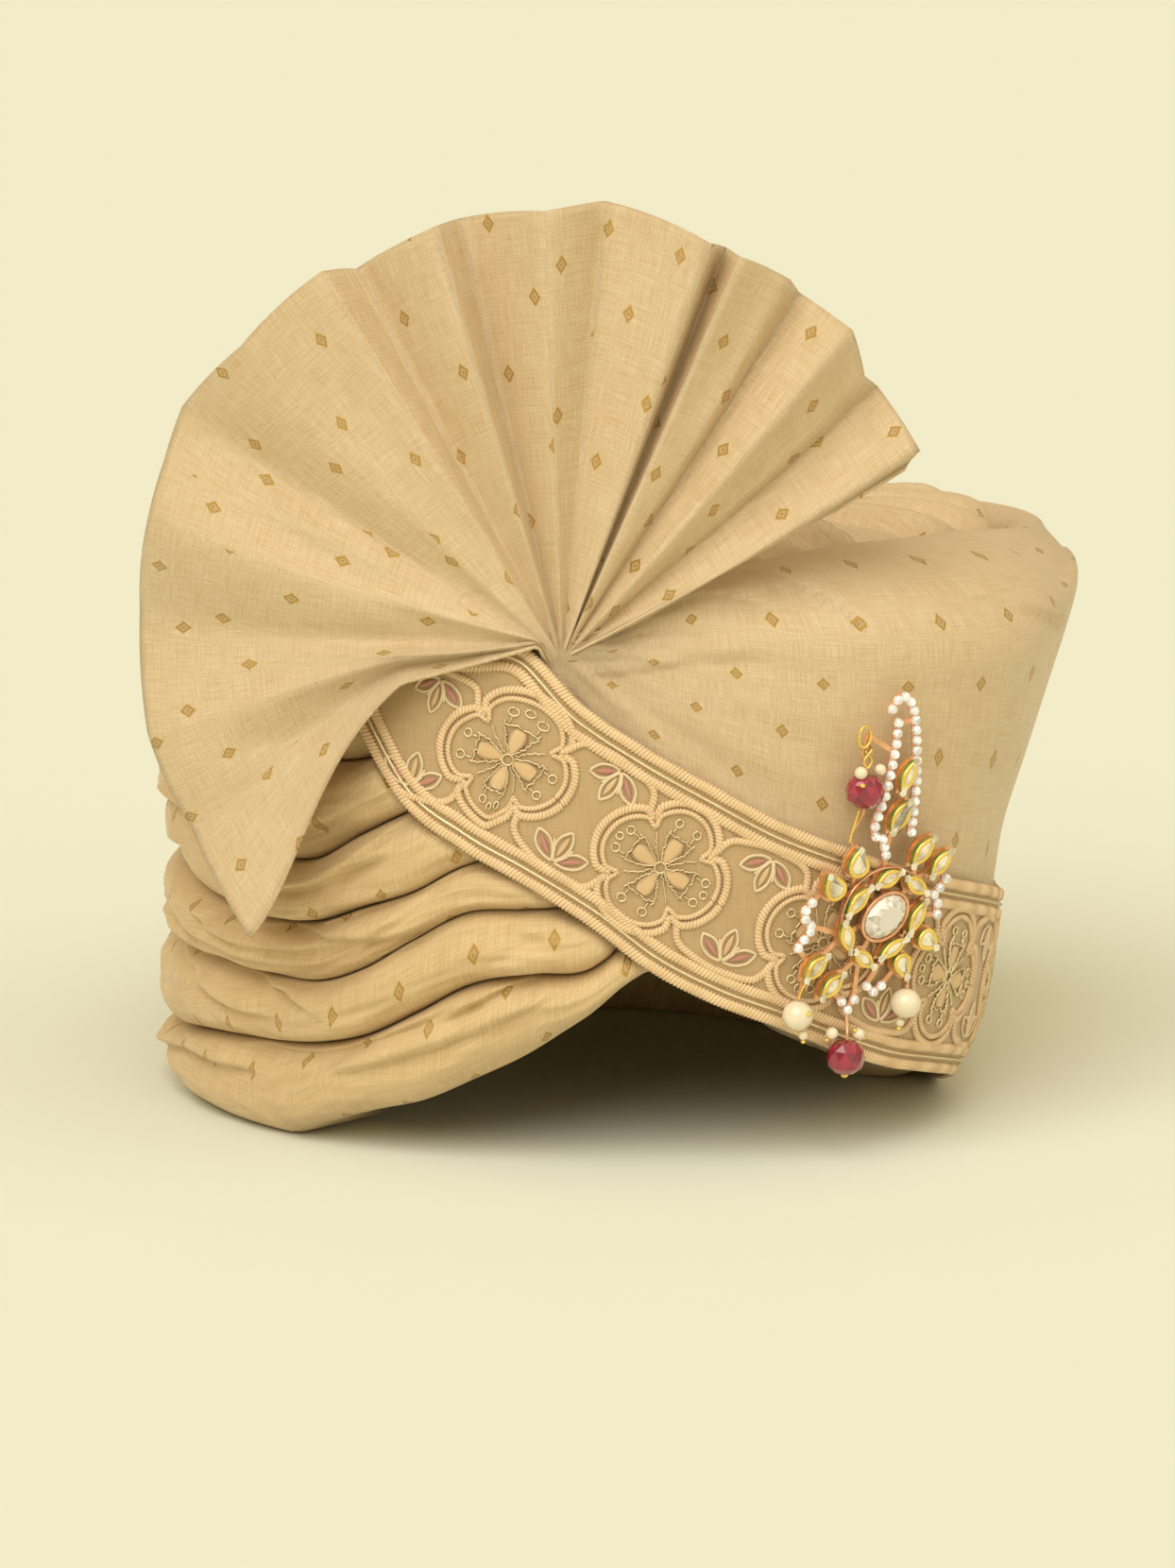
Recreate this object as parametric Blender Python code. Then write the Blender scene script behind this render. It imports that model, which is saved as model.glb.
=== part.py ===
# Tied turban pagri with a pleated fan, an embroidered border band and a jewelled brooch.
# Metres, Z up, the wearer's face towards -Y. The turban stands on its own lower rolls at z = 0.
# A turn is an angle in degrees about the upright axis, 0 at the front and growing towards +X.

import math

import bmesh
import bpy
from mathutils import Matrix, Vector

# Driving sizes of the wound body
HEAD_HALF_WIDTH = 0.086
HEAD_HALF_DEPTH = 0.095
LEFT_HALF_WIDTH = 0.135
FLARE_HALF_WIDTH = 0.157
FRONT_DEPTH = 0.137
WALL_HEIGHT = 0.164
CROWN_HEIGHT = 0.188
ROLL_BULGE = 0.009
ROLL_COUNT = 6

# Cloth and the clearances between layers
CLOTH = 0.002
BAND_THICKNESS = 0.0025
CORD_RELIEF = 0.0010
LAYER_GAP = 0.0006
ROLL_GAP = 0.0004
CROWN_WALL = 0.003
CROWN_GATHER = 0.0012
LIP_WIDTH = 0.012
LIP_DROP = 0.007
LIP_GAP = 0.0015
BAND_TUCK = 0.010

# The pleated fan
FAN_RADIUS = 0.135
FAN_WALL = 0.0022
PLEAT_DEPTH = 0.007
FAN_ROOT_X = -0.006
FAN_ROOT_Y = -0.141
FAN_ROOT_RISE = 0.0036
FAN_BOW_WIDTH = 0.165
FAN_LEAN = 0.15
FAN_DRAPE_TURN = 28.0
FAN_DRAPE_START = 186.0
NECK_WIDTH = 0.016
NECK_SHIFT = -0.003
NECK_HEIGHT = 0.009
TONGUE_THICKNESS = 0.0042
TONGUE_BOTTOM = 0.137
TONGUE_TURNS = (-9.0, 0.0)
TONGUE_TUCK = 0.003
NECK_FRONT = 0.0032
POCKET_DEPTH = 0.0074
POCKET_BELOW = 0.035
POCKET_RUN = 0.020
POCKET_TURNS = (-24.0, 16.0)

# The brooch, laid out on a grid of 115 steps up its height
BROOCH_HEIGHT = 0.115
GRID_STEPS = 115
BROOCH_TURN = 36.9
BROOCH_RISE = 0.0771
BROOCH_FACING = 33.5
BROOCH_TILT = 5.7
SEAT_GAP = 0.0003
BEAD_CLEARANCE = 0.0005
PLATE_THICKNESS = 0.0012
PLATE_MARGIN = 0.0007
STONE_GAP = 0.0003
CUP_HEIGHT = 0.0026
STONE_RISE = 0.0007
CENTRE_LENGTH = 0.0156
CENTRE_BREADTH = 0.0118
CRYSTAL_RADIUS = 0.00115
CRYSTAL_PITCH = 0.0033
CRYSTAL_HEIGHT = 0.0023
CHAIN_WIDTH = 0.0026
RIBBON_INSET = 0.00027
RIB_WIDTH = 0.0016
RIB_INSET = 0.00013
WIRE_RADIUS = 0.0005
RUBY_RADIUS = 0.006
RUBY_HEIGHT = 0.0105
PEARL_RADIUS = 0.0047

# Stations round the body: close steps over the front, wider ones behind
CLOSE_START = -96
CLOSE_STEP = 8
CLOSE_COUNT = 24
WIDE_COUNT = 11
BAND_START_TURN = -32
PANEL_START_TURN = -8
PANEL_END_TURN = 164

# Columns: share of the wall height, share of the flare half width
SIDE_ROWS = ((0.0, 0.713), (0.15, 0.796), (0.36, 0.834), (0.50, 0.854), (0.64, 0.892),
             (0.82, 0.952), (0.91, 0.980), (1.0, 1.0))

# Columns: share of the wall height, share of the front depth
FRONT_ROWS = ((0.0, 0.93), (0.15, 0.964), (0.34, 0.995), (0.64, 1.007), (0.91, 1.0), (1.0, 0.985))

# Columns: turn, then the height of each crease from the rim to the top, as shares of the wall height
CREASE_ROWS = (
    (-180, 0.0, 0.15, 0.30, 0.46, 0.62, 0.78, 0.93),
    (-135, 0.0, 0.15, 0.31, 0.47, 0.64, 0.81, 0.96),
    (-96, 0.0, 0.13, 0.30, 0.46, 0.67, 0.84, 0.99),
    (-80, 0.0, 0.13, 0.31, 0.45, 0.65, 0.84, 1.0),
    (-64, 0.0, 0.16, 0.31, 0.43, 0.59, 0.80, 1.0),
    (-48, 0.0, 0.18, 0.31, 0.42, 0.54, 0.75, 1.0),
    (-40, 0.04, 0.195, 0.315, 0.43, 0.55, 0.74, 1.0),
    (-32, 0.075, 0.225, 0.355, 0.47, 0.61, 0.75, 1.0),
    (-24, 0.105, 0.28, 0.42, 0.51, 0.665, 0.80, 1.0),
    (-16, 0.155, 0.34, 0.48, 0.57, 0.71, 0.84, 1.0),
    (-8, 0.21, 0.365, 0.49, 0.59, 0.73, 0.86, 1.0),
    (0, 0.285, 0.375, 0.50, 0.61, 0.74, 0.87, 1.0),
    (8, 0.37, 0.45, 0.55, 0.65, 0.77, 0.88, 1.0),
    (16, 0.335, 0.44, 0.55, 0.66, 0.78, 0.89, 1.0),
    (28, 0.26, 0.38, 0.51, 0.63, 0.75, 0.88, 1.0),
    (40, 0.18, 0.32, 0.455, 0.59, 0.73, 0.865, 1.0),
    (60, 0.10, 0.25, 0.40, 0.55, 0.70, 0.85, 1.0),
    (76, 0.045, 0.20, 0.36, 0.52, 0.68, 0.84, 1.0),
    (88, 0.0, 0.165, 0.33, 0.50, 0.665, 0.83, 1.0),
    (135, 0.0, 0.16, 0.32, 0.48, 0.65, 0.82, 0.98),
    (180, 0.0, 0.15, 0.30, 0.46, 0.62, 0.78, 0.93),
)

# Columns: turn, lower edge, upper edge of the border band, as shares of the wall height
BAND_ROWS = (
    (-32, 0.86, 0.955), (-24, 0.69, 0.99), (-16, 0.61, 0.995), (-8, 0.548, 0.99), (0, 0.475, 0.88),
    (8, 0.385, 0.80), (16, 0.32, 0.73), (24, 0.27, 0.66), (32, 0.215, 0.605), (40, 0.167, 0.555),
    (48, 0.135, 0.515), (60, 0.09, 0.465), (72, 0.045, 0.42), (84, 0.006, 0.385), (96, 0.0, 0.365),
    (180, 0.0, 0.36),
)

# Columns: turn, top of the upright wall, crest height as shares of the crown height, crest radius
# as a share of the flare half width, then how far the top is turned in, from none to fully
CREST_ROWS = (
    (-180, 0.80, 0.88, 0.885, 1.0), (-60, 0.82, 0.88, 0.885, 1.0), (-32, 0.84, 0.88, 0.86, 0.5),
    (-8, 0.835, 0.885, 0.83, 0.0), (3, 0.835, 0.885, 0.83, 0.0), (8, 0.835, 0.93, 0.79, 0.4),
    (16, 0.825, 0.96, 0.755, 1.0), (28, 0.81, 0.968, 0.715, 1.0), (48, 0.81, 0.975, 0.715, 1.0),
    (72, 0.84, 0.965, 0.79, 1.0), (88, 0.865, 0.94, 0.875, 1.0), (100, 0.86, 0.93, 0.935, 1.0),
    (114, 0.84, 0.93, 0.925, 1.0), (128, 0.825, 0.925, 0.87, 1.0), (150, 0.81, 0.905, 0.79, 1.0),
    (165, 0.80, 0.89, 0.79, 1.0), (180, 0.80, 0.88, 0.885, 1.0),
)

# Columns: share of the way up the band, relief as a share of the cord relief
BAND_RELIEF = ((0.0, 0.4), (0.07, 1.0), (0.17, 0.1), (0.5, 0.5), (0.83, 0.1), (0.93, 1.0), (1.0, 0.4))

# Columns: share in from the outer face as a share of the bulge, share up the roll
ROLL_SECTION = ((1.0, 0.0), (0.25, 0.17), (0.0, 0.48), (0.22, 0.81), (1.0, 1.0))

# Columns: share of the crown edge radius, share of the rise, gather
CROWN_SECTION = ((1.0, 0.0, 0.0), (1.0, 0.35, 0.6), (0.95, 0.64, 1.0), (0.83, 0.84, 1.0),
                 (0.60, 0.95, 0.7), (0.32, 0.99, 0.2))

# Columns: turn of the fold in the fan's own plane, 0 to the right and 90 up, share of the fan
# radius, share of the pleat depth, forward positive
FAN_FOLDS = (
    (22.7, 0.82, 0.3), (24.2, 0.866, 0.6), (35.0, 0.85, -0.8), (38.0, 0.845, -0.1), (44.9, 0.898, 0.8),
    (53.6, 0.875, -0.8), (56.2, 0.894, 0.0), (64.3, 0.892, 0.7), (66.4, 0.885, -0.6), (68.9, 0.896, 0.9),
    (84.4, 0.921, -0.5), (92.8, 0.910, 0.8), (105.2, 0.905, -0.7), (108.1, 0.919, 0.9),
    (121.4, 0.891, -0.3), (125.1, 0.937, 1.0), (141.1, 0.930, 0.6), (154.2, 0.962, -0.6),
    (161.5, 0.955, 0.0), (169.3, 0.958, 0.7), (183.5, 0.971, -0.6), (198.1, 0.994, 0.5),
    (211.6, 0.990, -0.4), (225.5, 1.009, 0.5),
)
FAN_RINGS = (0.035, 0.14, 0.30, 0.48, 0.66, 0.84, 1.0)

# Columns: grid steps across and up from the brooch's centre, length and breadth in grid steps,
# lean in degrees, pointed ends
KUNDANS = (
    (-10.8, 6.2, 12.0, 5.2, 46, 2), (0.0, 12.2, 10.4, 5.4, 21, 2), (10.4, 8.9, 10.6, 5.4, -36, 2),
    (11.6, -1.4, 12.0, 4.8, 61, 2), (3.2, -10.2, 11.6, 4.8, 30, 2), (-7.6, -12.2, 10.2, 5.2, -38, 2),
    (-14.2, -4.6, 10.8, 5.4, -74, 2), (-11.6, 18.4, 9.4, 8.0, 90, 1), (-20.2, 12.0, 9.4, 8.0, 122, 1),
    (16.4, -9.4, 8.4, 7.4, -40, 1), (7.4, -16.4, 8.8, 6.8, -68, 1), (-25.0, -13.0, 11.0, 5.6, 43, 2),
    (-18.6, -19.6, 11.0, 5.6, 43, 2), (12.2, 19.4, 12.0, 5.6, 48, 2), (19.2, 14.8, 11.0, 5.4, 48, 2),
    (4.7, 43.8, 11.4, 4.8, 66, 2), (2.8, 31.4, 12.0, 6.2, 57, 2),
)

# Chains of small crystals, each a list of grid places
CRYSTAL_CHAINS = (
    ((-1.6, 65.0), (0.8, 68.6), (4.2, 68.4), (7.2, 62.5), (8.2, 55.5), (9.4, 41.5), (8.6, 25.4)),
    ((1.0, 60.5), (0.9, 54.5), (0.0, 48.0), (-1.6, 38.9), (-5.2, 29.0), (-4.6, 25.4)),
    ((-2.0, 24.4), (-0.3, 19.2)),
    ((-26.6, 7.1), (-29.5, 4.4), (-28.3, 1.2), (-25.5, -0.6), (-28.0, -3.4), (-30.8, -6.6)),
    ((23.0, 9.0), (21.2, 6.6), (18.4, 5.0), (20.4, 1.8), (20.4, -2.0)),
    ((-13.4, -25.6), (-10.9, -28.6), (-8.6, -25.6)),
    ((-4.4, -21.8), (-1.4, -24.2), (1.2, -22.4)),
)

# Straight ribs that tie the settings together behind the stones, by grid places
RIBS = (
    ((0.0, 0.0), (-10.8, 6.2)), ((0.0, 0.0), (0.0, 12.2)), ((0.0, 0.0), (10.4, 8.9)),
    ((0.0, 0.0), (11.6, -1.4)), ((0.0, 0.0), (3.2, -10.2)), ((0.0, 0.0), (-7.6, -12.2)),
    ((0.0, 0.0), (-14.2, -4.6)), ((-10.8, 6.2), (-11.6, 18.4)), ((-10.8, 6.2), (-20.2, 12.0)),
    ((11.6, -1.4), (16.4, -9.4)), ((3.2, -10.2), (7.4, -16.4)), ((-14.2, -4.6), (-25.0, -13.0)),
    ((-7.6, -12.2), (-18.6, -19.6)), ((10.4, 8.9), (12.2, 19.4)), ((10.4, 8.9), (19.2, 14.8)),
    ((0.0, 12.2), (-0.3, 19.2)), ((-0.3, 19.2), (2.8, 31.4)), ((2.8, 31.4), (4.7, 43.8)),
    ((2.8, 31.4), (8.9, 31.0)), ((2.8, 31.4), (-4.4, 30.6)), ((4.7, 43.8), (9.3, 43.0)),
    ((4.7, 43.8), (-0.8, 43.6)), ((1.0, 60.5), (7.4, 60.6)), ((-20.2, 12.0), (-26.6, 7.1)),
    ((-14.2, -4.6), (-25.5, -0.6)), ((-30.8, -6.6), (-25.0, -13.0)), ((19.2, 14.8), (23.0, 9.0)),
    ((11.6, -1.4), (20.4, -2.0)), ((-18.6, -19.6), (-13.4, -25.6)), ((-7.6, -12.2), (-8.6, -25.6)),
    ((3.2, -10.2), (-4.4, -21.8)), ((7.4, -16.4), (1.2, -22.4)), ((-0.6, 52.0), (-9.8, 57.6)),
)

# Bead places in grid steps: across, up
RUBY_PLACES = {"ruby_bead_top": (-9.8, 40.4), "ruby_bead_bottom": (-13.0, -42.2)}
PEARL_PLACES = {"pearl_left": (-29.4, -28.0), "pearl_right": (9.0, -28.2)}

# Wires that carry the beads: the bead, then places across, up and the share of the way out from
# the plate's middle to the bead's own level. The last place lies just clear of the bead's end.
WIRES = (
    ("ruby_bead_top", (-9.8, 57.6, 0.0), (-11.6, 52.0, 0.4), (-9.8, 47.6, 1.0), (-9.8, 45.95, 1.0)),
    ("ruby_bead_bottom", (-10.9, -28.6, 0.0), (-13.0, -34.8, 1.0), (-13.0, -36.65, 1.0)),
    ("pearl_left", (-27.4, -15.6, 0.0), (-29.4, -21.2, 1.0), (-29.4, -23.16, 1.0)),
    ("pearl_right", (8.9, -20.2, 0.0), (9.0, -21.6, 0.06), (9.0, -22.5, 1.0), (9.0, -23.36, 1.0)),
    ("ruby_bead_top", (-11.6, 20.4, 0.0), (-13.6, 26.4, 0.0), (-9.8, 33.4, 1.0), (-9.8, 34.85, 1.0)),
)


def clear_scene():
    for thing in list(bpy.data.objects):
        bpy.data.objects.remove(thing, do_unlink=True)


def finish(name, color, roughness, metallic):
    material = bpy.data.materials.new(name)
    material.use_nodes = True
    shader = material.node_tree.nodes["Principled BSDF"]
    shader.inputs["Base Color"].default_value = (*color, 1.0)
    shader.inputs["Roughness"].default_value = roughness
    shader.inputs["Metallic"].default_value = metallic
    return material


def add_object(name, bm, material, smooth=True):
    """Turn a closed bmesh into a named object with its faces pointing out."""
    bmesh.ops.recalc_face_normals(bm, faces=bm.faces)
    if bm.calc_volume(signed=True) < 0:
        bmesh.ops.reverse_faces(bm, faces=bm.faces)
    mesh = bpy.data.meshes.new(name)
    bm.to_mesh(mesh)
    bm.free()
    if smooth:
        mesh.shade_smooth()
        mesh.set_sharp_from_angle(angle=math.radians(35))
    mesh.materials.append(material)
    thing = bpy.data.objects.new(name, mesh)
    bpy.context.scene.collection.objects.link(thing)
    return thing


# Reading the tables

def read_row(rows, place, column):
    """Read a column of a table at a place between its rows, in smooth steps."""
    if place <= rows[0][0]:
        return rows[0][column]
    for low, high in zip(rows, rows[1:]):
        if place <= high[0]:
            share = (place - low[0]) / (high[0] - low[0])
            return low[column] + (high[column] - low[column]) * share
    return rows[-1][column]


def read_turn(rows, turn, column):
    """Read a column of a table that runs right round, at any turn."""
    wrapped = (turn + 180.0) % 360.0 - 180.0
    return read_row(rows, wrapped, column)


def stations():
    """Turns of the sections, all the way round."""
    close = [CLOSE_START + CLOSE_STEP * step for step in range(CLOSE_COUNT)]
    left = 360 - (close[-1] - close[0])
    wide = [close[-1] + left * step / (WIDE_COUNT + 1) for step in range(1, WIDE_COUNT + 1)]
    return close + wide


def stations_between(start, end):
    inside = [turn for turn in stations() if start + 1 < turn < end - 1]
    return [start] + inside + [end]


# The turban's skin: a rounded oblong that flares to the right

def skin_radius(turn, height):
    """Distance from the axis to the outer cloth at a turn and height."""
    share = height / WALL_HEIGHT
    angle = math.radians(turn)
    across = abs(math.sin(angle))
    along = abs(math.cos(angle))
    depth = FRONT_DEPTH * read_row(FRONT_ROWS, share, 1)
    width = LEFT_HALF_WIDTH
    squareness = 2.0
    if math.sin(angle) > 0:
        width = FLARE_HALF_WIDTH * read_row(SIDE_ROWS, share, 1)
        squareness = 2.7 if math.cos(angle) > 0 else 2.25
    total = (across / width) ** squareness + (along / depth) ** squareness
    return total ** (-1.0 / squareness)


def head_radius(turn):
    angle = math.radians(turn)
    total = (math.sin(angle) / HEAD_HALF_WIDTH) ** 2 + (math.cos(angle) / HEAD_HALF_DEPTH) ** 2
    return total ** -0.5


def polar(turn, radius, height):
    angle = math.radians(turn)
    return Vector((radius * math.sin(angle), -radius * math.cos(angle), height))


def unwound(turn):
    """A turn from -180 to 180."""
    return (turn + 180.0) % 360.0 - 180.0


PANEL_INSET = BAND_THICKNESS + LAYER_GAP
UNDER_BAND = BAND_THICKNESS + LAYER_GAP
UNDER_PANEL = PANEL_INSET + CLOTH + 1.3 * LAYER_GAP


def press(turn, height):
    """How far the rolls are pressed in below the skin under the band, the panel and the fan's root."""
    place = unwound(turn)
    depth = 0.0
    if PANEL_START_TURN - 0.5 <= place <= PANEL_END_TURN + 0.5:
        depth = UNDER_PANEL
    elif BAND_START_TURN - 0.5 <= place < PANEL_START_TURN:
        depth = UNDER_BAND
    low, high = POCKET_TURNS
    if low <= place <= high and height > TONGUE_BOTTOM - POCKET_BELOW:
        share = (place - low) / (high - low)
        rise = min(1.0, (height - TONGUE_BOTTOM + POCKET_BELOW) / POCKET_RUN)
        depth += POCKET_DEPTH * min(1.0, 2.2 * math.sin(math.pi * share)) * rise
    return depth


# Lofts

def loft_ring(rings):
    """A closed ring through closed sections, split so that stacked rings share their diagonals."""
    bm = bmesh.new()
    loops = [[bm.verts.new(point) for point in ring] for ring in rings]
    count = len(rings[0])
    for index, loop in enumerate(loops):
        following = loops[(index + 1) % len(loops)]
        for corner in range(count):
            after = (corner + 1) % count
            if corner == count - 1:
                bm.faces.new((loop[corner], loop[after], following[corner]))
                bm.faces.new((loop[after], following[after], following[corner]))
            else:
                bm.faces.new((loop[corner], loop[after], following[after]))
                bm.faces.new((loop[corner], following[after], following[corner]))
    return bm


def loft_shell(outer, inner):
    """A closed wall between two open sheets of points with the same rows and columns."""
    bm = bmesh.new()
    front = [[bm.verts.new(point) for point in row] for row in outer]
    back = [[bm.verts.new(point) for point in row] for row in inner]
    rows = len(outer)
    columns = len(outer[0])
    for row in range(rows - 1):
        for column in range(columns - 1):
            for sheet in (front, back):
                bm.faces.new((sheet[row][column], sheet[row][column + 1],
                              sheet[row + 1][column + 1], sheet[row + 1][column]))
    border = [(row, 0) for row in range(rows)]
    border += [(rows - 1, column) for column in range(1, columns)]
    border += [(row, columns - 1) for row in range(rows - 2, -1, -1)]
    border += [(0, column) for column in range(columns - 2, 0, -1)]
    for (row, column), (next_row, next_column) in zip(border, border[1:] + border[:1]):
        bm.faces.new((front[row][column], front[next_row][next_column],
                      back[next_row][next_column], back[row][column]))
    return bm


def inset_profile(points, wall):
    """Points of (radius, height) moved inward by a wall, along the mean of their edges."""
    moved = []
    for index, (radius, height) in enumerate(points):
        before = points[max(index - 1, 0)]
        after = points[min(index + 1, len(points) - 1)]
        run = Vector((after[0] - before[0], after[1] - before[1])).normalized()
        moved.append((radius - run.y * wall, height + run.x * wall))
    return moved


# The wound rolls

def crease_height(turn, level):
    return WALL_HEIGHT * read_turn(CREASE_ROWS, turn, 1 + level)


def crease_depth(turn, level):
    """How far a crease lies in from the skin: less where the rolls beside it are thin."""
    rolls = [crease_height(turn, step + 1) - crease_height(turn, step)
             for step in (level - 1, level) if 0 <= step < ROLL_COUNT]
    return min([ROLL_BULGE] + [0.5 * roll for roll in rolls])


def make_roll(level, material):
    """One closed roll of wound cloth between two creases."""
    rings = []
    for turn in stations():
        low = crease_height(turn, level)
        high = crease_height(turn, level + 1) - ROLL_GAP
        inner = head_radius(turn)
        ring = [polar(turn, inner, high), polar(turn, inner, low)]
        for inward, up in ROLL_SECTION:
            height = low + (high - low) * up
            level_height = crease_height(turn, level + 1) if up == 1.0 else height
            face = skin_radius(turn, level_height) - press(turn, level_height)
            depth = crease_depth(turn, level if up < 0.5 else level + 1)
            ring.append(polar(turn, face - depth * inward, height))
        rings.append(ring)
    return add_object("wrap_%d" % (level + 1), loft_ring(rings), material)


# The crown

def crest_radius(turn):
    return FLARE_HALF_WIDTH * read_turn(CREST_ROWS, turn, 3)


def crown_edge(turn):
    return crest_radius(turn) - LIP_WIDTH - LIP_GAP


def make_crown(material):
    """A shallow gathered dome that stands on the top roll."""
    bm = bmesh.new()
    turns = stations()
    skins = []
    for wall, gathered in ((0.0, CROWN_GATHER), (CROWN_WALL, CROWN_GATHER / 2)):
        rows = []
        for share, rise, gather in CROWN_SECTION:
            row = []
            for index, turn in enumerate(turns):
                base = crease_height(turn, ROLL_COUNT) + ROLL_GAP
                top = CROWN_HEIGHT - wall
                height = base + (top - base) * rise
                height += gathered * gather * (-1) ** index
                row.append(bm.verts.new(polar(turn, (crown_edge(turn) - wall) * share, height)))
            rows.append(row)
        skins.append(rows)
    for rows, peak in zip(skins, (CROWN_HEIGHT, CROWN_HEIGHT - CROWN_WALL)):
        for low, high in zip(rows, rows[1:]):
            join_loops(bm, low, high)
        tip = bm.verts.new((0.0, 0.0, peak))
        last = rows[-1]
        for corner in range(len(last)):
            bm.faces.new((last[corner], last[(corner + 1) % len(last)], tip))
    join_loops(bm, skins[0][0], skins[1][0])
    return add_object("crown", bm, material)


def join_loops(bm, low, high):
    for corner in range(len(low)):
        after = (corner + 1) % len(low)
        bm.faces.new((low[corner], low[after], high[after], high[corner]))


# The front panel and its border band

def band_edge(turn, upper):
    return WALL_HEIGHT * read_row(BAND_ROWS, turn, 2 if upper else 1)


def panel_profile(turn):
    """Outer profile of the panel at a turn: wall, rounded shoulder and turned-in lip."""
    bottom = band_edge(turn, True) - BAND_TUCK
    wall_top = CROWN_HEIGHT * read_turn(CREST_ROWS, turn, 1)
    crest = CROWN_HEIGHT * read_turn(CREST_ROWS, turn, 2)
    radius = crest_radius(turn)
    points = []
    for share in (0.0, 0.17, 0.34, 0.52, 0.70, 0.86, 1.0):
        height = bottom + (wall_top - bottom) * share
        points.append((skin_radius(turn, height) - PANEL_INSET, height))
    shoulder = points[-1][0]
    turned = []
    for angle in (20, 42, 66, 90):
        bend = math.radians(angle)
        turned.append((radius + (shoulder - radius) * math.cos(bend),
                       wall_top + (crest - wall_top) * math.sin(bend)))
    turned.append((radius - LIP_WIDTH * 0.55, crest - LIP_DROP * 0.22))
    turned.append((radius - LIP_WIDTH, crest - LIP_DROP))
    share = read_turn(CREST_ROWS, turn, 4)
    for step, (across, height) in enumerate(turned, start=1):
        upright = wall_top + (crest - wall_top) * step / len(turned)
        face = skin_radius(turn, upright) - PANEL_INSET
        points.append((face + (across - face) * share, upright + (height - upright) * share))
    return points


def make_panel(material):
    outer = []
    inner = []
    for turn in stations_between(PANEL_START_TURN, PANEL_END_TURN):
        profile = panel_profile(turn)
        outer.append([polar(turn, radius, height) for radius, height in profile])
        inner.append([polar(turn, radius, height) for radius, height in inset_profile(profile, CLOTH)])
    return add_object("front_panel", loft_shell(outer, inner), material)


def make_band(material):
    outer = []
    inner = []
    for turn in stations_between(BAND_START_TURN, PANEL_END_TURN):
        low = band_edge(turn, False)
        high = band_edge(turn, True)
        front = []
        back = []
        for share, relief in BAND_RELIEF:
            height = low + (high - low) * share
            radius = skin_radius(turn, height)
            front.append(polar(turn, radius + CORD_RELIEF * relief, height))
            back.append(polar(turn, radius - BAND_THICKNESS, height))
        outer.append(front)
        inner.append(back)
    return add_object("border_band", loft_shell(outer, inner), material)


# The fan

def fan_root():
    """Height of the point that the pleats spread from."""
    return CROWN_HEIGHT * read_turn(CREST_ROWS, 0.0, 2) + FAN_ROOT_RISE


def fan_turn(fold_turn, share):
    """The turn of a fold at a share of its length; the lowest folds drape down over the rolls."""
    drape = max(0.0, (fold_turn - FAN_DRAPE_START) / (FAN_FOLDS[-1][0] - FAN_DRAPE_START))
    slack = min(1.0, ((1.0 - share) / 0.65) ** 1.7)
    return fold_turn - FAN_DRAPE_TURN * drape * slack


def fan_point(fold, share, back):
    fold_turn, reach, depth = fold
    angle = math.radians(fan_turn(fold_turn, share))
    radius = FAN_RADIUS * reach * share
    x = FAN_ROOT_X + radius * math.cos(angle)
    z = fan_root() + radius * math.sin(angle)
    bow = math.sqrt(1.0 - (x / FAN_BOW_WIDTH) ** 2)
    y = FAN_ROOT_Y * bow + FAN_LEAN * (z - fan_root()) - PLEAT_DEPTH * depth * share
    return Vector((x, y + back, z))


def box_mesh(low, high):
    bm = bmesh.new()
    bmesh.ops.create_cube(bm, size=1.0)
    size = Vector(high) - Vector(low)
    middle = (Vector(high) + Vector(low)) / 2
    bmesh.ops.scale(bm, vec=size, verts=bm.verts)
    bmesh.ops.translate(bm, vec=middle, verts=bm.verts)
    return bm


def tongue_mesh():
    """The fan's root, a curved tongue tucked between the rolls and the panel."""
    outer = []
    inner = []
    low, high = TONGUE_TURNS
    face = skin_radius(0.0, WALL_HEIGHT) - UNDER_PANEL
    for step in range(4):
        turn = low + (high - low) * step / 3
        heights = (TONGUE_BOTTOM, fan_root() + NECK_HEIGHT * 0.6)
        outer.append([polar(turn, face, height) for height in heights])
        inner.append([polar(turn, face - TONGUE_THICKNESS, height) for height in heights])
    return loft_shell(outer, inner)


def make_fan(material):
    outer = []
    inner = []
    for fold in FAN_FOLDS:
        outer.append([fan_point(fold, share, 0.0) for share in FAN_RINGS])
        inner.append([fan_point(fold, share, FAN_WALL) for share in FAN_RINGS])
    fan = add_object("fan", loft_shell(outer, inner), material)
    face = skin_radius(0.0, WALL_HEIGHT) - UNDER_PANEL
    bottom = CROWN_HEIGHT * read_turn(CREST_ROWS, 0.0, 2) + 2 * LAYER_GAP
    middle = FAN_ROOT_X + NECK_SHIFT
    neck = box_mesh((middle - NECK_WIDTH / 2, FAN_ROOT_Y - NECK_FRONT, bottom),
                    (middle + NECK_WIDTH / 2, -face + TONGUE_TUCK, bottom + NECK_HEIGHT))
    join_solid(fan, add_object("neck", neck, material))
    join_solid(fan, add_object("tongue", tongue_mesh(), material))
    return fan


def join_solid(target, tool):
    """Fuse one solid into another and remove the tool."""
    union = target.modifiers.new("union", "BOOLEAN")
    union.operation = "UNION"
    union.solver = "EXACT"
    union.object = tool
    bpy.context.view_layer.update()
    graph = bpy.context.evaluated_depsgraph_get()
    fused = bpy.data.meshes.new_from_object(target.evaluated_get(graph))
    target.modifiers.clear()
    old = target.data
    target.data = fused
    fused.name = target.name
    bpy.data.meshes.remove(old)
    bpy.data.objects.remove(tool, do_unlink=True)


# The brooch

GRID = BROOCH_HEIGHT / GRID_STEPS


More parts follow.
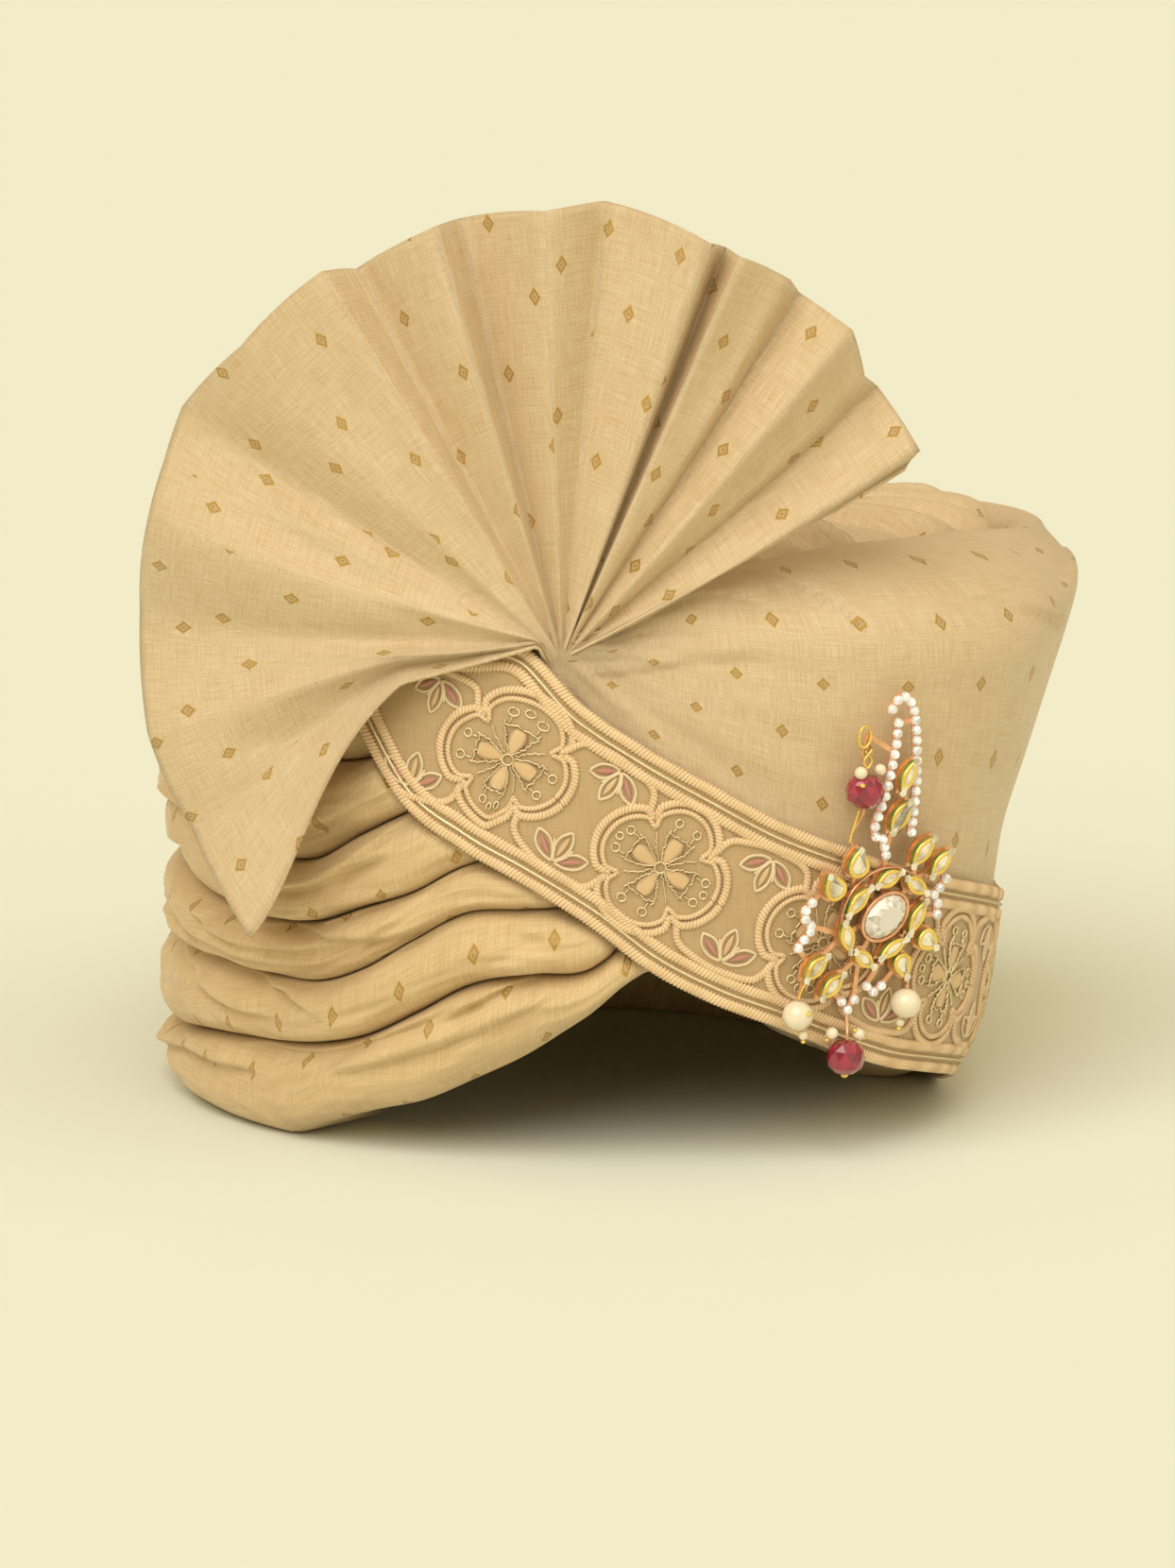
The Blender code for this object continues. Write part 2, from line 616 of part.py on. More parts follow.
def clearance(matrix, across, up):
    """Distance from the brooch's plane at a grid place down to the band or the panel above it."""
    spot = matrix @ Vector((across * GRID, up * GRID, 0.0))
    turn = math.degrees(math.atan2(spot.x, -spot.y))
    out = matrix.to_3x3() @ Vector((0.0, 0.0, 1.0))
    low = band_edge(turn, False)
    high = band_edge(turn, True)
    relief = read_row(BAND_RELIEF, (spot.z - low) / (high - low), 1)
    face = skin_radius(turn, spot.z) + CORD_RELIEF * relief
    if spot.z > high + CORD_RELIEF:
        face = skin_radius(turn, spot.z) - PANEL_INSET
    return (math.hypot(spot.x, spot.y) - face) * out.dot(polar(turn, 1.0, 0.0))


def brooch_frame():
    """World matrix of the brooch: X across, Y up its height, Z out of its face.

    The plate is moved out until its nearest setting just clears the band's cords."""
    facing = math.radians(BROOCH_FACING)
    tilt = math.radians(BROOCH_TILT)
    out = Vector((math.sin(facing) * math.cos(tilt), -math.cos(facing) * math.cos(tilt), -math.sin(tilt)))
    across = Vector((math.cos(facing), math.sin(facing), 0.0))
    up = out.cross(across)
    place = polar(BROOCH_TURN, skin_radius(BROOCH_TURN, BROOCH_RISE), BROOCH_RISE)
    turned = Matrix((across, up, out)).transposed().to_4x4()
    matrix = Matrix.Translation(place) @ turned
    settings = [row[:2] for row in KUNDANS] + [place for chain in CRYSTAL_CHAINS for place in chain]
    stand = SEAT_GAP - min(clearance(matrix, *setting) for setting in settings)
    return Matrix.Translation(place + out * stand) @ turned


def bead_level(matrix, name):
    """How far a bead's axis lies out from the plate's back, so that the bead clears the band."""
    radius = RUBY_RADIUS if name in RUBY_PLACES else PEARL_RADIUS
    across, up = {**RUBY_PLACES, **PEARL_PLACES}[name]
    reach = 0.5 * radius / GRID
    steps = ((0, 0), (-reach, 0), (reach, 0), (0, -reach), (0, reach))
    room = min(clearance(matrix, across + side, up + rise) for side, rise in steps)
    return max(PLATE_THICKNESS, radius + BEAD_CLEARANCE - room)


def prism(outline, levels):
    """A closed solid through scaled copies of an outline: each level is (scale, height)."""
    bm = bmesh.new()
    rings = []
    centre = sum((Vector(point) for point in outline), Vector((0.0, 0.0))) / len(outline)
    for scale, height in levels:
        ring = []
        for point in outline:
            spot = centre + (Vector(point) - centre) * scale
            ring.append(bm.verts.new((spot.x, spot.y, height)))
        rings.append(ring)
    for low, high in zip(rings, rings[1:]):
        join_loops(bm, low, high)
    bm.faces.new(rings[0][::-1])
    bm.faces.new(rings[-1])
    return bm


def marquise(length, breadth):
    """A lens with two points, along X."""
    half = [(-0.72, 0.42), (-0.28, 0.93), (0.28, 0.93), (0.72, 0.42)]
    upper = [(x * length / 2, y * breadth / 2) for x, y in half]
    lower = [(x, -y) for x, y in reversed(upper)]
    return [(-length / 2, 0.0)] + upper + [(length / 2, 0.0)] + lower


def teardrop(length, breadth):
    """A round outline with one point, towards +X."""
    points = []
    for step in range(10):
        angle = 2 * math.pi * step / 10
        waist = math.sin(angle) * abs(math.sin(angle / 2)) ** 0.8 * 1.18
        points.append((math.cos(angle) * length / 2, waist * breadth / 2))
    return points[::-1]


def oval(length, breadth, count):
    return [(math.cos(-2 * math.pi * step / count) * length / 2,
             math.sin(-2 * math.pi * step / count) * breadth / 2) for step in range(count)]


def placed(outline, across, up, lean):
    turn = Matrix.Rotation(math.radians(lean), 2)
    spots = [turn @ Vector(point) for point in outline]
    return [(spot.x + across * GRID, spot.y + up * GRID) for spot in spots]


def grown(outline, margin):
    centre = sum((Vector(point) for point in outline), Vector((0.0, 0.0))) / len(outline)
    spread = []
    for point in outline:
        arm = Vector(point) - centre
        spread.append(tuple(centre + arm * (1.0 + margin / arm.length)))
    return spread


def kundan_outline(row):
    across, up, length, breadth, lean, points = row
    shape = marquise if points == 2 else teardrop
    return placed(shape(length * GRID, breadth * GRID), across, up, lean)


STONE_SEAT = PLATE_THICKNESS + STONE_GAP


def make_kundan(index, row, matrix, material):
    """A gold cup with a flat cut stone set in it."""
    top = STONE_SEAT + CUP_HEIGHT
    levels = ((0.90, STONE_SEAT), (1.0, top), (0.62, top - 0.0002), (0.40, top - 0.0002 + STONE_RISE))
    bm = prism(kundan_outline(row), levels)
    bm.transform(matrix)
    return add_object("kundan_%02d" % index, bm, material, smooth=False)


def make_centre_stone(matrix, material):
    """The large oval stone: pavilion, girdle, crown facets and table."""
    outline = placed(oval(CENTRE_LENGTH, CENTRE_BREADTH, 16), 0.0, 0.0, 32)
    levels = ((0.90, STONE_SEAT), (1.0, STONE_SEAT + 0.0018), (1.0, STONE_SEAT + 0.0024),
              (0.80, STONE_SEAT + 0.0036), (0.55, STONE_SEAT + 0.0042))
    bm = prism(outline, levels)
    bm.transform(matrix)
    return add_object("centre_stone", bm, material, smooth=False)


def chain_places(chain):
    """Evenly spaced places along a chain."""
    points = [Vector(place) * GRID for place in chain]
    lengths = [(after - before).length for before, after in zip(points, points[1:])]
    total = sum(lengths)
    count = max(2, round(total / CRYSTAL_PITCH) + 1)
    places = []
    for step in range(count):
        run = total * step / (count - 1)
        for before, after, length in zip(points, points[1:], lengths):
            if run <= length + 1e-9:
                places.append(before + (after - before) * (run / length))
                break
            run -= length
    return places


def bar(start, end, width, low, high):
    """A flat bar between two places of the brooch's plane."""
    run = (end - start).normalized()
    side = Vector((-run.y, run.x)) * (width / 2)
    reach = run * (width * 0.3)
    outline = [start - reach - side, end + reach - side, end + reach + side, start - reach + side]
    return prism([tuple(point) for point in reversed(outline)], ((1.0, low), (1.0, high)))


def ribbon(points, width):
    """A flat strip of one width along a bent line of the brooch's plane."""
    left = []
    right = []
    for index, place in enumerate(points):
        before = points[max(index - 1, 0)]
        after = points[min(index + 1, len(points) - 1)]
        run = (after - before).normalized()
        side = Vector((-run.y, run.x)) * (width / 2)
        reach = run * (width * 0.3) * ((index == len(points) - 1) - (index == 0))
        left.append(place + side + reach)
        right.append(place - side + reach)
    outline = [tuple(point) for point in left + right[::-1]]
    return prism(outline, ((1.0, RIBBON_INSET), (1.0, PLATE_THICKNESS - RIBBON_INSET)))


def wire(points, radius, level):
    """A bent wire, six-sided, with flat ends, that climbs from the plate's middle to a level."""
    middle = PLATE_THICKNESS / 2
    path = []
    for across, up, share in points:
        path.append(Vector((across * GRID, up * GRID, middle + (level - middle) * share)))
    bm = bmesh.new()
    rings = []
    for index, place in enumerate(path):
        before = path[max(index - 1, 0)]
        after = path[min(index + 1, len(path) - 1)]
        run = (after - before).normalized()
        side = run.cross(Vector((0.0, 0.0, 1.0))).normalized()
        top = side.cross(run)
        ring = []
        for corner in range(6):
            angle = math.pi * (2 * corner + 1) / 6
            offset = side * math.cos(angle) + top * math.sin(angle)
            ring.append(bm.verts.new(place + offset * radius))
        rings.append(ring)
    for low, high in zip(rings, rings[1:]):
        join_loops(bm, low, high)
    bm.faces.new(rings[0][::-1])
    bm.faces.new(rings[-1])
    return bm


def make_frame(matrix, material):
    """The openwork plate: settings, ribs, crystal chains, wires and the pin, soldered together."""
    hub = placed(oval(CENTRE_LENGTH * 1.12, CENTRE_BREADTH * 1.12, 16), 0.0, 0.0, 32)
    frame = add_object("brooch_frame", prism(hub, ((1.0, 0.0), (1.0, PLATE_THICKNESS))), material, False)
    solids = []
    for index, row in enumerate(KUNDANS):
        shift = 0.00002 * (index % 5 + 1)
        outline = grown(kundan_outline(row), PLATE_MARGIN)
        solids.append(prism(outline, ((1.0, shift), (1.0, PLATE_THICKNESS - shift))))
    for index, (start, end) in enumerate(RIBS):
        low = RIB_INSET + 0.000017 * (index % 6)
        high = PLATE_THICKNESS - low
        solids.append(bar(Vector(start) * GRID, Vector(end) * GRID, RIB_WIDTH, low, high))
    for chain in CRYSTAL_CHAINS:
        solids.append(ribbon([Vector(place) * GRID for place in chain], CHAIN_WIDTH))
        for index, place in enumerate(chain_places(chain)):
            outline = [(x + place.x, y + place.y) for x, y in oval(2 * CRYSTAL_RADIUS, 2 * CRYSTAL_RADIUS, 6)]
            shift = 0.000007 * (index % 3)
            solids.append(prism(outline, ((1.0, PLATE_THICKNESS / 3 + shift), (0.5, CRYSTAL_HEIGHT))))
    for name, *points in WIRES:
        solids.append(wire(points, WIRE_RADIUS, bead_level(matrix, name)))
    for solid in solids:
        join_solid(frame, add_object("piece", solid, material, False))
    frame.data.transform(matrix)
    return frame


def turned_bead(name, sections, count, place, matrix, material, smooth):
    """A bead turned about the brooch's upright line: sections are (height, radius)."""
    bm = bmesh.new()
    rings = []
    for height, radius in sections:
        ring = []
        for step in range(count):
            angle = 2 * math.pi * step / count
            ring.append(bm.verts.new((radius * math.cos(angle), height, radius * math.sin(angle))))
        rings.append(ring)
    for low, high in zip(rings, rings[1:]):
        join_loops(bm, low, high)
    bm.faces.new(rings[0][::-1])
    bm.faces.new(rings[-1])
    level = bead_level(matrix, name)
    bm.transform(matrix @ Matrix.Translation((place[0] * GRID, place[1] * GRID, level)))
    return add_object(name, bm, material, smooth)


def make_beads(matrix, ruby, pearl):
    half = RUBY_HEIGHT / 2
    cut = [(-half, RUBY_RADIUS * 0.42), (-half * 0.55, RUBY_RADIUS * 0.86), (0.0, RUBY_RADIUS),
           (half * 0.55, RUBY_RADIUS * 0.86), (half, RUBY_RADIUS * 0.42)]
    for name, place in RUBY_PLACES.items():
        turned_bead(name, cut, 12, place, matrix, ruby, False)
    ball = []
    for step in range(6):
        angle = math.radians(-75 + 30 * step)
        ball.append((PEARL_RADIUS * math.sin(angle), PEARL_RADIUS * math.cos(angle)))
    for name, place in PEARL_PLACES.items():
        turned_bead(name, ball, 12, place, matrix, pearl, True)


def centre_model():
    """Bring the middle of the model over the origin, with its lowest face at z = 0."""
    corners = [vertex.co for thing in bpy.data.objects for vertex in thing.data.vertices]
    low = [min(corner[axis] for corner in corners) for axis in range(3)]
    high = [max(corner[axis] for corner in corners) for axis in range(3)]
    shift = Matrix.Translation((-(low[0] + high[0]) / 2, -(low[1] + high[1]) / 2, -low[2]))
    for thing in bpy.data.objects:
        thing.data.transform(shift)


def build():
    clear_scene()
    silk = finish("cream silk", (0.66, 0.50, 0.30), 0.55, 0.0)
    border = finish("embroidered border", (0.60, 0.44, 0.27), 0.7, 0.0)
    gold = finish("rose gold", (0.80, 0.48, 0.26), 0.25, 1.0)
    cup = finish("kundan gold", (0.85, 0.62, 0.18), 0.25, 1.0)
    clear = finish("clear stone", (0.92, 0.88, 0.76), 0.05, 0.0)
    ruby = finish("ruby glass", (0.55, 0.02, 0.10), 0.1, 0.0)
    pearl = finish("pearl", (0.90, 0.82, 0.66), 0.25, 0.0)
    for level in range(ROLL_COUNT):
        make_roll(level, silk)
    make_crown(silk)
    make_panel(silk)
    make_band(border)
    make_fan(silk)
    matrix = brooch_frame()
    make_frame(matrix, gold)
    for index, row in enumerate(KUNDANS, start=1):
        make_kundan(index, row, matrix, cup)
    make_centre_stone(matrix, clear)
    make_beads(matrix, ruby, pearl)
    centre_model()


build()
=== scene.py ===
# Looks for a tied turban: wound rolls, gathered crown, front panel, embroidered band, pleated fan, brooch.
# Turns are degrees about the upright axis, 0 at the front and growing towards +X; patterns are in millimetres.
import math
import bmesh
import bpy
from mathutils import Matrix, Vector, noise


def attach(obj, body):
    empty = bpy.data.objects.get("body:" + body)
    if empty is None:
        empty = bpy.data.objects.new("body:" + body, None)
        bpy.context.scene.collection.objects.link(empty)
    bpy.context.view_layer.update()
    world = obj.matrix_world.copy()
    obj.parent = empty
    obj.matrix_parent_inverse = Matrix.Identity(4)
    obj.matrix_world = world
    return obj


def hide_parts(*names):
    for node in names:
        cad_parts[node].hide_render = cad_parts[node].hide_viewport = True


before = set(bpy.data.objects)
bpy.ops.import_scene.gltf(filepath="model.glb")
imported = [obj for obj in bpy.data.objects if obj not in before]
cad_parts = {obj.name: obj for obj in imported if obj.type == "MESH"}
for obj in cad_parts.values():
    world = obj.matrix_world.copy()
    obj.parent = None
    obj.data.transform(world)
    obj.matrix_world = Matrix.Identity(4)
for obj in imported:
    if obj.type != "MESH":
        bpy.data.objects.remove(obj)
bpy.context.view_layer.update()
print("frame loaded, %d nodes" % len(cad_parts))

# the camera and the light

camera = {"axis": (-0.00838, 0.0033), "lookAt": (-0.0078, 0.0033, 0.0941), "distance": 2.5, "elevation": 11.0,
          "lens": 241.2}
light = {"floorSize": 14, "floorDrop": 0.0003,
         "keyFrom": (-0.34, -0.83, 0.92), "keyStrength": 2.0, "keySpread": 54, "fillStrength": 0.62,
         "worldColor": (1.0, 0.78, 0.40), "worldStrength": 0.56, "floorColor": (0.785, 0.83, 0.735)}


def setStage():
    data = bpy.data.cameras.new("camera")
    data.lens = camera["lens"]
    data.sensor_width = 36
    data.sensor_fit = "HORIZONTAL"
    data.clip_end = 60
    eye = bpy.data.objects.new("camera", data)
    rise = math.radians(camera["elevation"])
    target = Vector(camera["lookAt"])
    back = Vector((0.0, -math.cos(rise), math.sin(rise)))
    eye.location = target + back * camera["distance"]
    eye.rotation_mode = "QUATERNION"
    eye.rotation_quaternion = (-back).to_track_quat("-Z", "Y")
    bpy.context.scene.collection.objects.link(eye)
    bpy.context.scene.camera = eye
    for name, aim, strength, spread in (("key", light["keyFrom"], light["keyStrength"], light["keySpread"]),
                                        ("fill", (0.80, -0.60, 0.95), light["fillStrength"], 80)):
        sun = bpy.data.lights.new(name, "SUN")
        sun.energy = strength
        sun.angle = math.radians(spread)
        sun.color = (1.0, 0.985, 0.965)
        lamp = bpy.data.objects.new(name, sun)
        lamp.rotation_mode = "QUATERNION"
        lamp.rotation_quaternion = Vector(aim).to_track_quat("Z", "Y")
        bpy.context.scene.collection.objects.link(lamp)
    world = bpy.data.worlds.new("studio")
    world.use_nodes = True
    world.node_tree.nodes["Background"].inputs["Color"].default_value = (*light["worldColor"], 1)
    world.node_tree.nodes["Background"].inputs["Strength"].default_value = light["worldStrength"]
    bpy.context.scene.world = world
    bpy.context.scene.view_settings.view_transform = "Standard"
    bm = bmesh.new()
    bmesh.ops.create_grid(bm, x_segments=2, y_segments=2, size=light["floorSize"])
    mesh = bpy.data.meshes.new("floor")
    bm.to_mesh(mesh)
    bm.free()
    floor = bpy.data.objects.new("floor", mesh)
    floor.location.z = -light["floorDrop"]
    paint, shader, _links = newMaterial("floor paper", light["floorColor"], 0.9)
    shader.inputs["Specular IOR Level"].default_value = 0.1
    mesh.materials.append(paint)
    bpy.context.scene.collection.objects.link(floor)


# materials

def newMaterial(name, color, roughness, metallic=0.0):
    paint = bpy.data.materials.new(name)
    paint.use_nodes = True
    shader = paint.node_tree.nodes["Principled BSDF"]
    shader.inputs["Base Color"].default_value = (*color, 1)
    shader.inputs["Roughness"].default_value = roughness
    shader.inputs["Metallic"].default_value = metallic
    return paint, shader, paint.node_tree.links


def newGroup(name, inputs, outputs):
    group = bpy.data.node_groups.new(name, "ShaderNodeTree")
    for socketName, kind, value in inputs:
        socket = group.interface.new_socket(name=socketName, in_out="INPUT", socket_type=kind)
        if value is not None:
            socket.default_value = value
    for socketName, kind in outputs:
        group.interface.new_socket(name=socketName, in_out="OUTPUT", socket_type=kind)
    return group, group.nodes.new("NodeGroupInput"), group.nodes.new("NodeGroupOutput")


def mathNode(tree, operation, first, second=None, third=None, clamp=False):
    node = tree.nodes.new("ShaderNodeMath")
    node.operation = operation
    node.use_clamp = clamp
    for socket, value in zip(node.inputs, (first, second, third)):
        if value is None:
            continue
        if isinstance(value, (int, float)):
            socket.default_value = value
        else:
            tree.links.new(value, socket)
    return node.outputs[0]


def mixNode(tree, share, first, second):
    node = tree.nodes.new("ShaderNodeMix")
    node.data_type = "RGBA"
    for socket, value in ((node.inputs[0], share), (node.inputs[6], first), (node.inputs[7], second)):
        if isinstance(value, tuple):
            socket.default_value = (*value, 1)
        elif isinstance(value, (int, float)):
            socket.default_value = value
        else:
            tree.links.new(value, socket)
    return node.outputs[2]


def noiseNode(tree, vector, scale, detail=2.0, stretch=(1, 1, 1)):
    mapping = tree.nodes.new("ShaderNodeMapping")
    mapping.inputs["Scale"].default_value = stretch
    tree.links.new(vector, mapping.inputs["Vector"])
    node = tree.nodes.new("ShaderNodeTexNoise")
    node.inputs["Scale"].default_value = scale
    node.inputs["Detail"].default_value = detail
    tree.links.new(mapping.outputs[0], node.inputs["Vector"])
    return node.outputs[0]


weave = {"threadPitch": 0.62, "slub": 0.35}
buti = {"across": 24.0, "along": 21.0, "halfWidth": 1.9, "halfHeight": 2.7}


def weaveGroup():  # thread relief and thread shade from a pattern in millimetres
    group, entry, leave = newGroup("weave", [("Vector", "NodeSocketVector", None),
                                             ("Pitch", "NodeSocketFloat", weave["threadPitch"])],
                                   [("Relief", "NodeSocketFloat"), ("Shade", "NodeSocketFloat")])
    split = group.nodes.new("ShaderNodeSeparateXYZ")
    group.links.new(entry.outputs[0], split.inputs[0])
    wobble = mathNode(group, "MULTIPLY", noiseNode(group, entry.outputs[0], 0.8), 1.1)
    turnsPer = mathNode(group, "DIVIDE", 2 * math.pi, entry.outputs[1])
    warp = mathNode(group, "SINE", mathNode(group, "MULTIPLY_ADD", split.outputs[0], turnsPer, wobble))
    weft = mathNode(group, "SINE", mathNode(group, "MULTIPLY_ADD", split.outputs[1], turnsPer, wobble))
    cross = mathNode(group, "MULTIPLY", warp, weft)
    slubAcross = noiseNode(group, entry.outputs[0], 1.0, 3.0, (0.10, 2.4, 1))
    slubAlong = noiseNode(group, entry.outputs[0], 1.0, 3.0, (2.4, 0.10, 1))
    slub = mathNode(group, "ADD", slubAcross, slubAlong)
    relief = mathNode(group, "MULTIPLY_ADD", cross, 0.5, mathNode(group, "MULTIPLY", slub, weave["slub"]))
    group.links.new(relief, leave.inputs[0])
    shade = mathNode(group, "MULTIPLY_ADD", cross, 0.22, slub)
    group.links.new(mathNode(group, "SUBTRACT", shade, 0.5), leave.inputs[1])
    return group


def butiGroup():  # woven diamonds in staggered rows
    group, entry, leave = newGroup("woven motif", [("Vector", "NodeSocketVector", None)],
                                   [("Gold", "NodeSocketFloat"), ("Edge", "NodeSocketFloat")])
    split = group.nodes.new("ShaderNodeSeparateXYZ")
    group.links.new(entry.outputs[0], split.inputs[0])
    row = mathNode(group, "DIVIDE", split.outputs[1], buti["along"])
    rowNumber = mathNode(group, "FLOOR", row)
    odd = mathNode(group, "MULTIPLY", mathNode(group, "FLOORED_MODULO", rowNumber, 2.0), 0.5)
    column = mathNode(group, "ADD", mathNode(group, "DIVIDE", split.outputs[0], buti["across"]), odd)
    across = mathNode(group, "SUBTRACT", mathNode(group, "FRACT", column), 0.5)
    along = mathNode(group, "SUBTRACT", mathNode(group, "FRACT", row), 0.5)
    across = mathNode(group, "ABSOLUTE", mathNode(group, "MULTIPLY", across, buti["across"] / buti["halfWidth"]))
    along = mathNode(group, "ABSOLUTE", mathNode(group, "MULTIPLY", along, buti["along"] / buti["halfHeight"]))
    ragged = mathNode(group, "MULTIPLY", mathNode(group, "SUBTRACT", noiseNode(group, entry.outputs[0], 3.5), 0.5), 0.5)
    reach = mathNode(group, "ADD", mathNode(group, "ADD", across, along), ragged)
    outer = mathNode(group, "MULTIPLY", mathNode(group, "SUBTRACT", 1.05, reach), 8.0, clamp=True)
    hole = mathNode(group, "MULTIPLY", mathNode(group, "SUBTRACT", 0.64, reach), 8.0, clamp=True)
    eye = mathNode(group, "MULTIPLY", mathNode(group, "SUBTRACT", 0.30, reach), 8.0, clamp=True)
    ring = mathNode(group, "SUBTRACT", outer, hole)
    group.links.new(mathNode(group, "ADD", ring, eye), leave.inputs[0])
    group.links.new(mathNode(group, "SUBTRACT", hole, eye), leave.inputs[1])
    return group


def placeGroup(paint, group, vector):
    node = paint.node_tree.nodes.new("ShaderNodeGroup")
    node.node_tree = group
    if vector is not None:
        paint.node_tree.links.new(vector, node.inputs[0])
    return node


def uvNode(paint, name="cloth"):
    node = paint.node_tree.nodes.new("ShaderNodeUVMap")
    node.uv_map = name
    return node.outputs[0]


def bumpNode(paint, shader, height, strength, distance):
    node = paint.node_tree.nodes.new("ShaderNodeBump")
    node.inputs["Strength"].default_value = strength
    node.inputs["Distance"].default_value = distance
    paint.node_tree.links.new(height, node.inputs["Height"])
    paint.node_tree.links.new(node.outputs[0], shader.inputs["Normal"])


silk = {"light": (0.84, 0.70, 0.49), "dark": (0.57, 0.405, 0.195), "gold": (0.50, 0.29, 0.035),
        "goldDeep": (0.30, 0.14, 0.03), "roughness": 0.37, "sheen": 0.30}


# paintedLightTint scales both silk colours to make copies with painted light in them: brighter for the crown, a warmer
# and darker painted shade for the rolls
def silkMaterial(name, paintedLightTint=(1.0, 1.0, 1.0)):
    paint, shader, links = newMaterial(name, silk["light"], silk["roughness"])
    tree = paint.node_tree
    uv = uvNode(paint)
    threads = placeGroup(paint, weaveGroupNode, uv)
    cloudy = noiseNode(tree, uv, 0.03, 2.0)
    share = mathNode(tree, "MULTIPLY_ADD", threads.outputs["Shade"], 1.0,
                     mathNode(tree, "MULTIPLY", cloudy, 0.25), clamp=True)
    light, dark = (tuple(channel * part for channel, part in zip(silk[key], paintedLightTint)) for key in ("light", "dark"))
    color = mixNode(tree, share, light, dark)
    height = threads.outputs["Relief"]
    motif = placeGroup(paint, butiGroupNode, uv)
    color = mixNode(tree, mathNode(tree, "MULTIPLY", motif.outputs["Edge"], 0.35), color, silk["goldDeep"])
    color = mixNode(tree, mathNode(tree, "MULTIPLY", motif.outputs["Gold"], 0.92), color, silk["gold"])
    height = mathNode(tree, "ADD", height, mathNode(tree, "MULTIPLY", motif.outputs["Gold"], 0.8))
    links.new(mathNode(tree, "MULTIPLY", motif.outputs["Gold"], 0.45), shader.inputs["Metallic"])
    links.new(mathNode(tree, "MULTIPLY_ADD", motif.outputs["Gold"], -0.12, silk["roughness"]),
              shader.inputs["Roughness"])
    links.new(color, shader.inputs["Base Color"])
    bumpNode(paint, shader, height, 0.75, 0.0002)
    shader.inputs["Sheen Weight"].default_value = silk["sheen"]
    shader.inputs["Sheen Roughness"].default_value = 0.4
    shader.inputs["Sheen Tint"].default_value = (1.0, 0.90, 0.72, 1)
    shader.inputs["Specular IOR Level"].default_value = 0.45
    return paint


def strandGroup():  # the grooves between the strands of a twisted thread, from its own length and turn; the thread materials paint shade into these grooves
    group, entry, leave = newGroup("strands", [("Vector", "NodeSocketVector", None), ("Pitch", "NodeSocketFloat", 1.0),
                                               ("Plies", "NodeSocketFloat", 2.0)],
                                   [("GrooveAndShade", "NodeSocketFloat"), ("Fibre", "NodeSocketFloat")])
    split = group.nodes.new("ShaderNodeSeparateXYZ")
    group.links.new(entry.outputs[0], split.inputs[0])
    along = mathNode(group, "DIVIDE", split.outputs[0], entry.outputs[1])
    plyTurn = mathNode(group, "MULTIPLY", split.outputs[1], entry.outputs[2])
    phase = mathNode(group, "MULTIPLY", mathNode(group, "SUBTRACT", plyTurn, along), 2 * math.pi)
    wave = mathNode(group, "MULTIPLY_ADD", mathNode(group, "COSINE", phase), -0.5, 0.5)
    group.links.new(mathNode(group, "POWER", wave, 1.6), leave.inputs[0])
    fibre = noiseNode(group, entry.outputs[0], 1.0, 2.0, (3.0, 26.0, 1))
    group.links.new(mathNode(group, "SUBTRACT", fibre, 0.5), leave.inputs[1])
    return group


def wearGroup():  # soft patches and fine grain on hard parts, in object space
    group, entry, leave = newGroup("handling wear", [("Vector", "NodeSocketVector", None)],
                                   [("Patch", "NodeSocketFloat"), ("Grain", "NodeSocketFloat")])
    group.links.new(noiseNode(group, entry.outputs[0], 260.0, 2.0), leave.inputs[0])
    group.links.new(noiseNode(group, entry.outputs[0], 1900.0, 3.0), leave.inputs[1])
    return group


def objectNode(paint):
    return paint.node_tree.nodes.new("ShaderNodeTexCoord").outputs["Object"]


def threadMaterial(name, light, dark, pitch, plies, roughness=0.55, metallic=0.0):
    paint, shader, links = newMaterial(name, light, roughness, metallic)
    tree = paint.node_tree
    strands = placeGroup(paint, strandGroupNode, uvNode(paint))
    strands.inputs["Pitch"].default_value = pitch
    strands.inputs["Plies"].default_value = plies
    # painted shade: the thread's colour darkens in the grooves between strands, mixed with random fibre streaks and
    # mottle
    share = mathNode(tree, "ADD", mathNode(tree, "MULTIPLY", strands.outputs["GrooveAndShade"], 0.62),
                     mathNode(tree, "MULTIPLY", strands.outputs["Fibre"], 0.9), clamp=True)
    cloudy = noiseNode(tree, objectNode(paint), 160.0, 2.0)
    share = mathNode(tree, "ADD", share, mathNode(tree, "MULTIPLY_ADD", cloudy, 0.5, -0.22), clamp=True)
    links.new(mixNode(tree, share, light, dark), shader.inputs["Base Color"])
    links.new(mathNode(tree, "MULTIPLY_ADD", share, 0.25, roughness - 0.08), shader.inputs["Roughness"])
    height = mathNode(tree, "SUBTRACT", strands.outputs["Fibre"], strands.outputs["GrooveAndShade"])
    bumpNode(paint, shader, height, 0.5, 0.0001)
    shader.inputs["Sheen Weight"].default_value = 0.0 if metallic else 0.3
    shader.inputs["Sheen Tint"].default_value = (1.0, 0.92, 0.78, 1)
    return paint


def organzaMaterial(name):
    paint, shader, links = newMaterial(name, embroidery["ground"], 0.5)
    tree = paint.node_tree
    uv = uvNode(paint)
    threads = placeGroup(paint, weaveGroupNode, uv)
    threads.inputs["Pitch"].default_value = 0.42
    share = mathNode(tree, "MULTIPLY_ADD", threads.outputs["Shade"], 0.7,
                     mathNode(tree, "MULTIPLY", noiseNode(tree, uv, 0.16, 2.0), 0.35), clamp=True)
    links.new(mixNode(tree, share, embroidery["ground"], embroidery["groundDeep"]), shader.inputs["Base Color"])
    bumpNode(paint, shader, threads.outputs["Relief"], 0.5, 0.00015)
    shader.inputs["Sheen Weight"].default_value = 0.35
    return paint


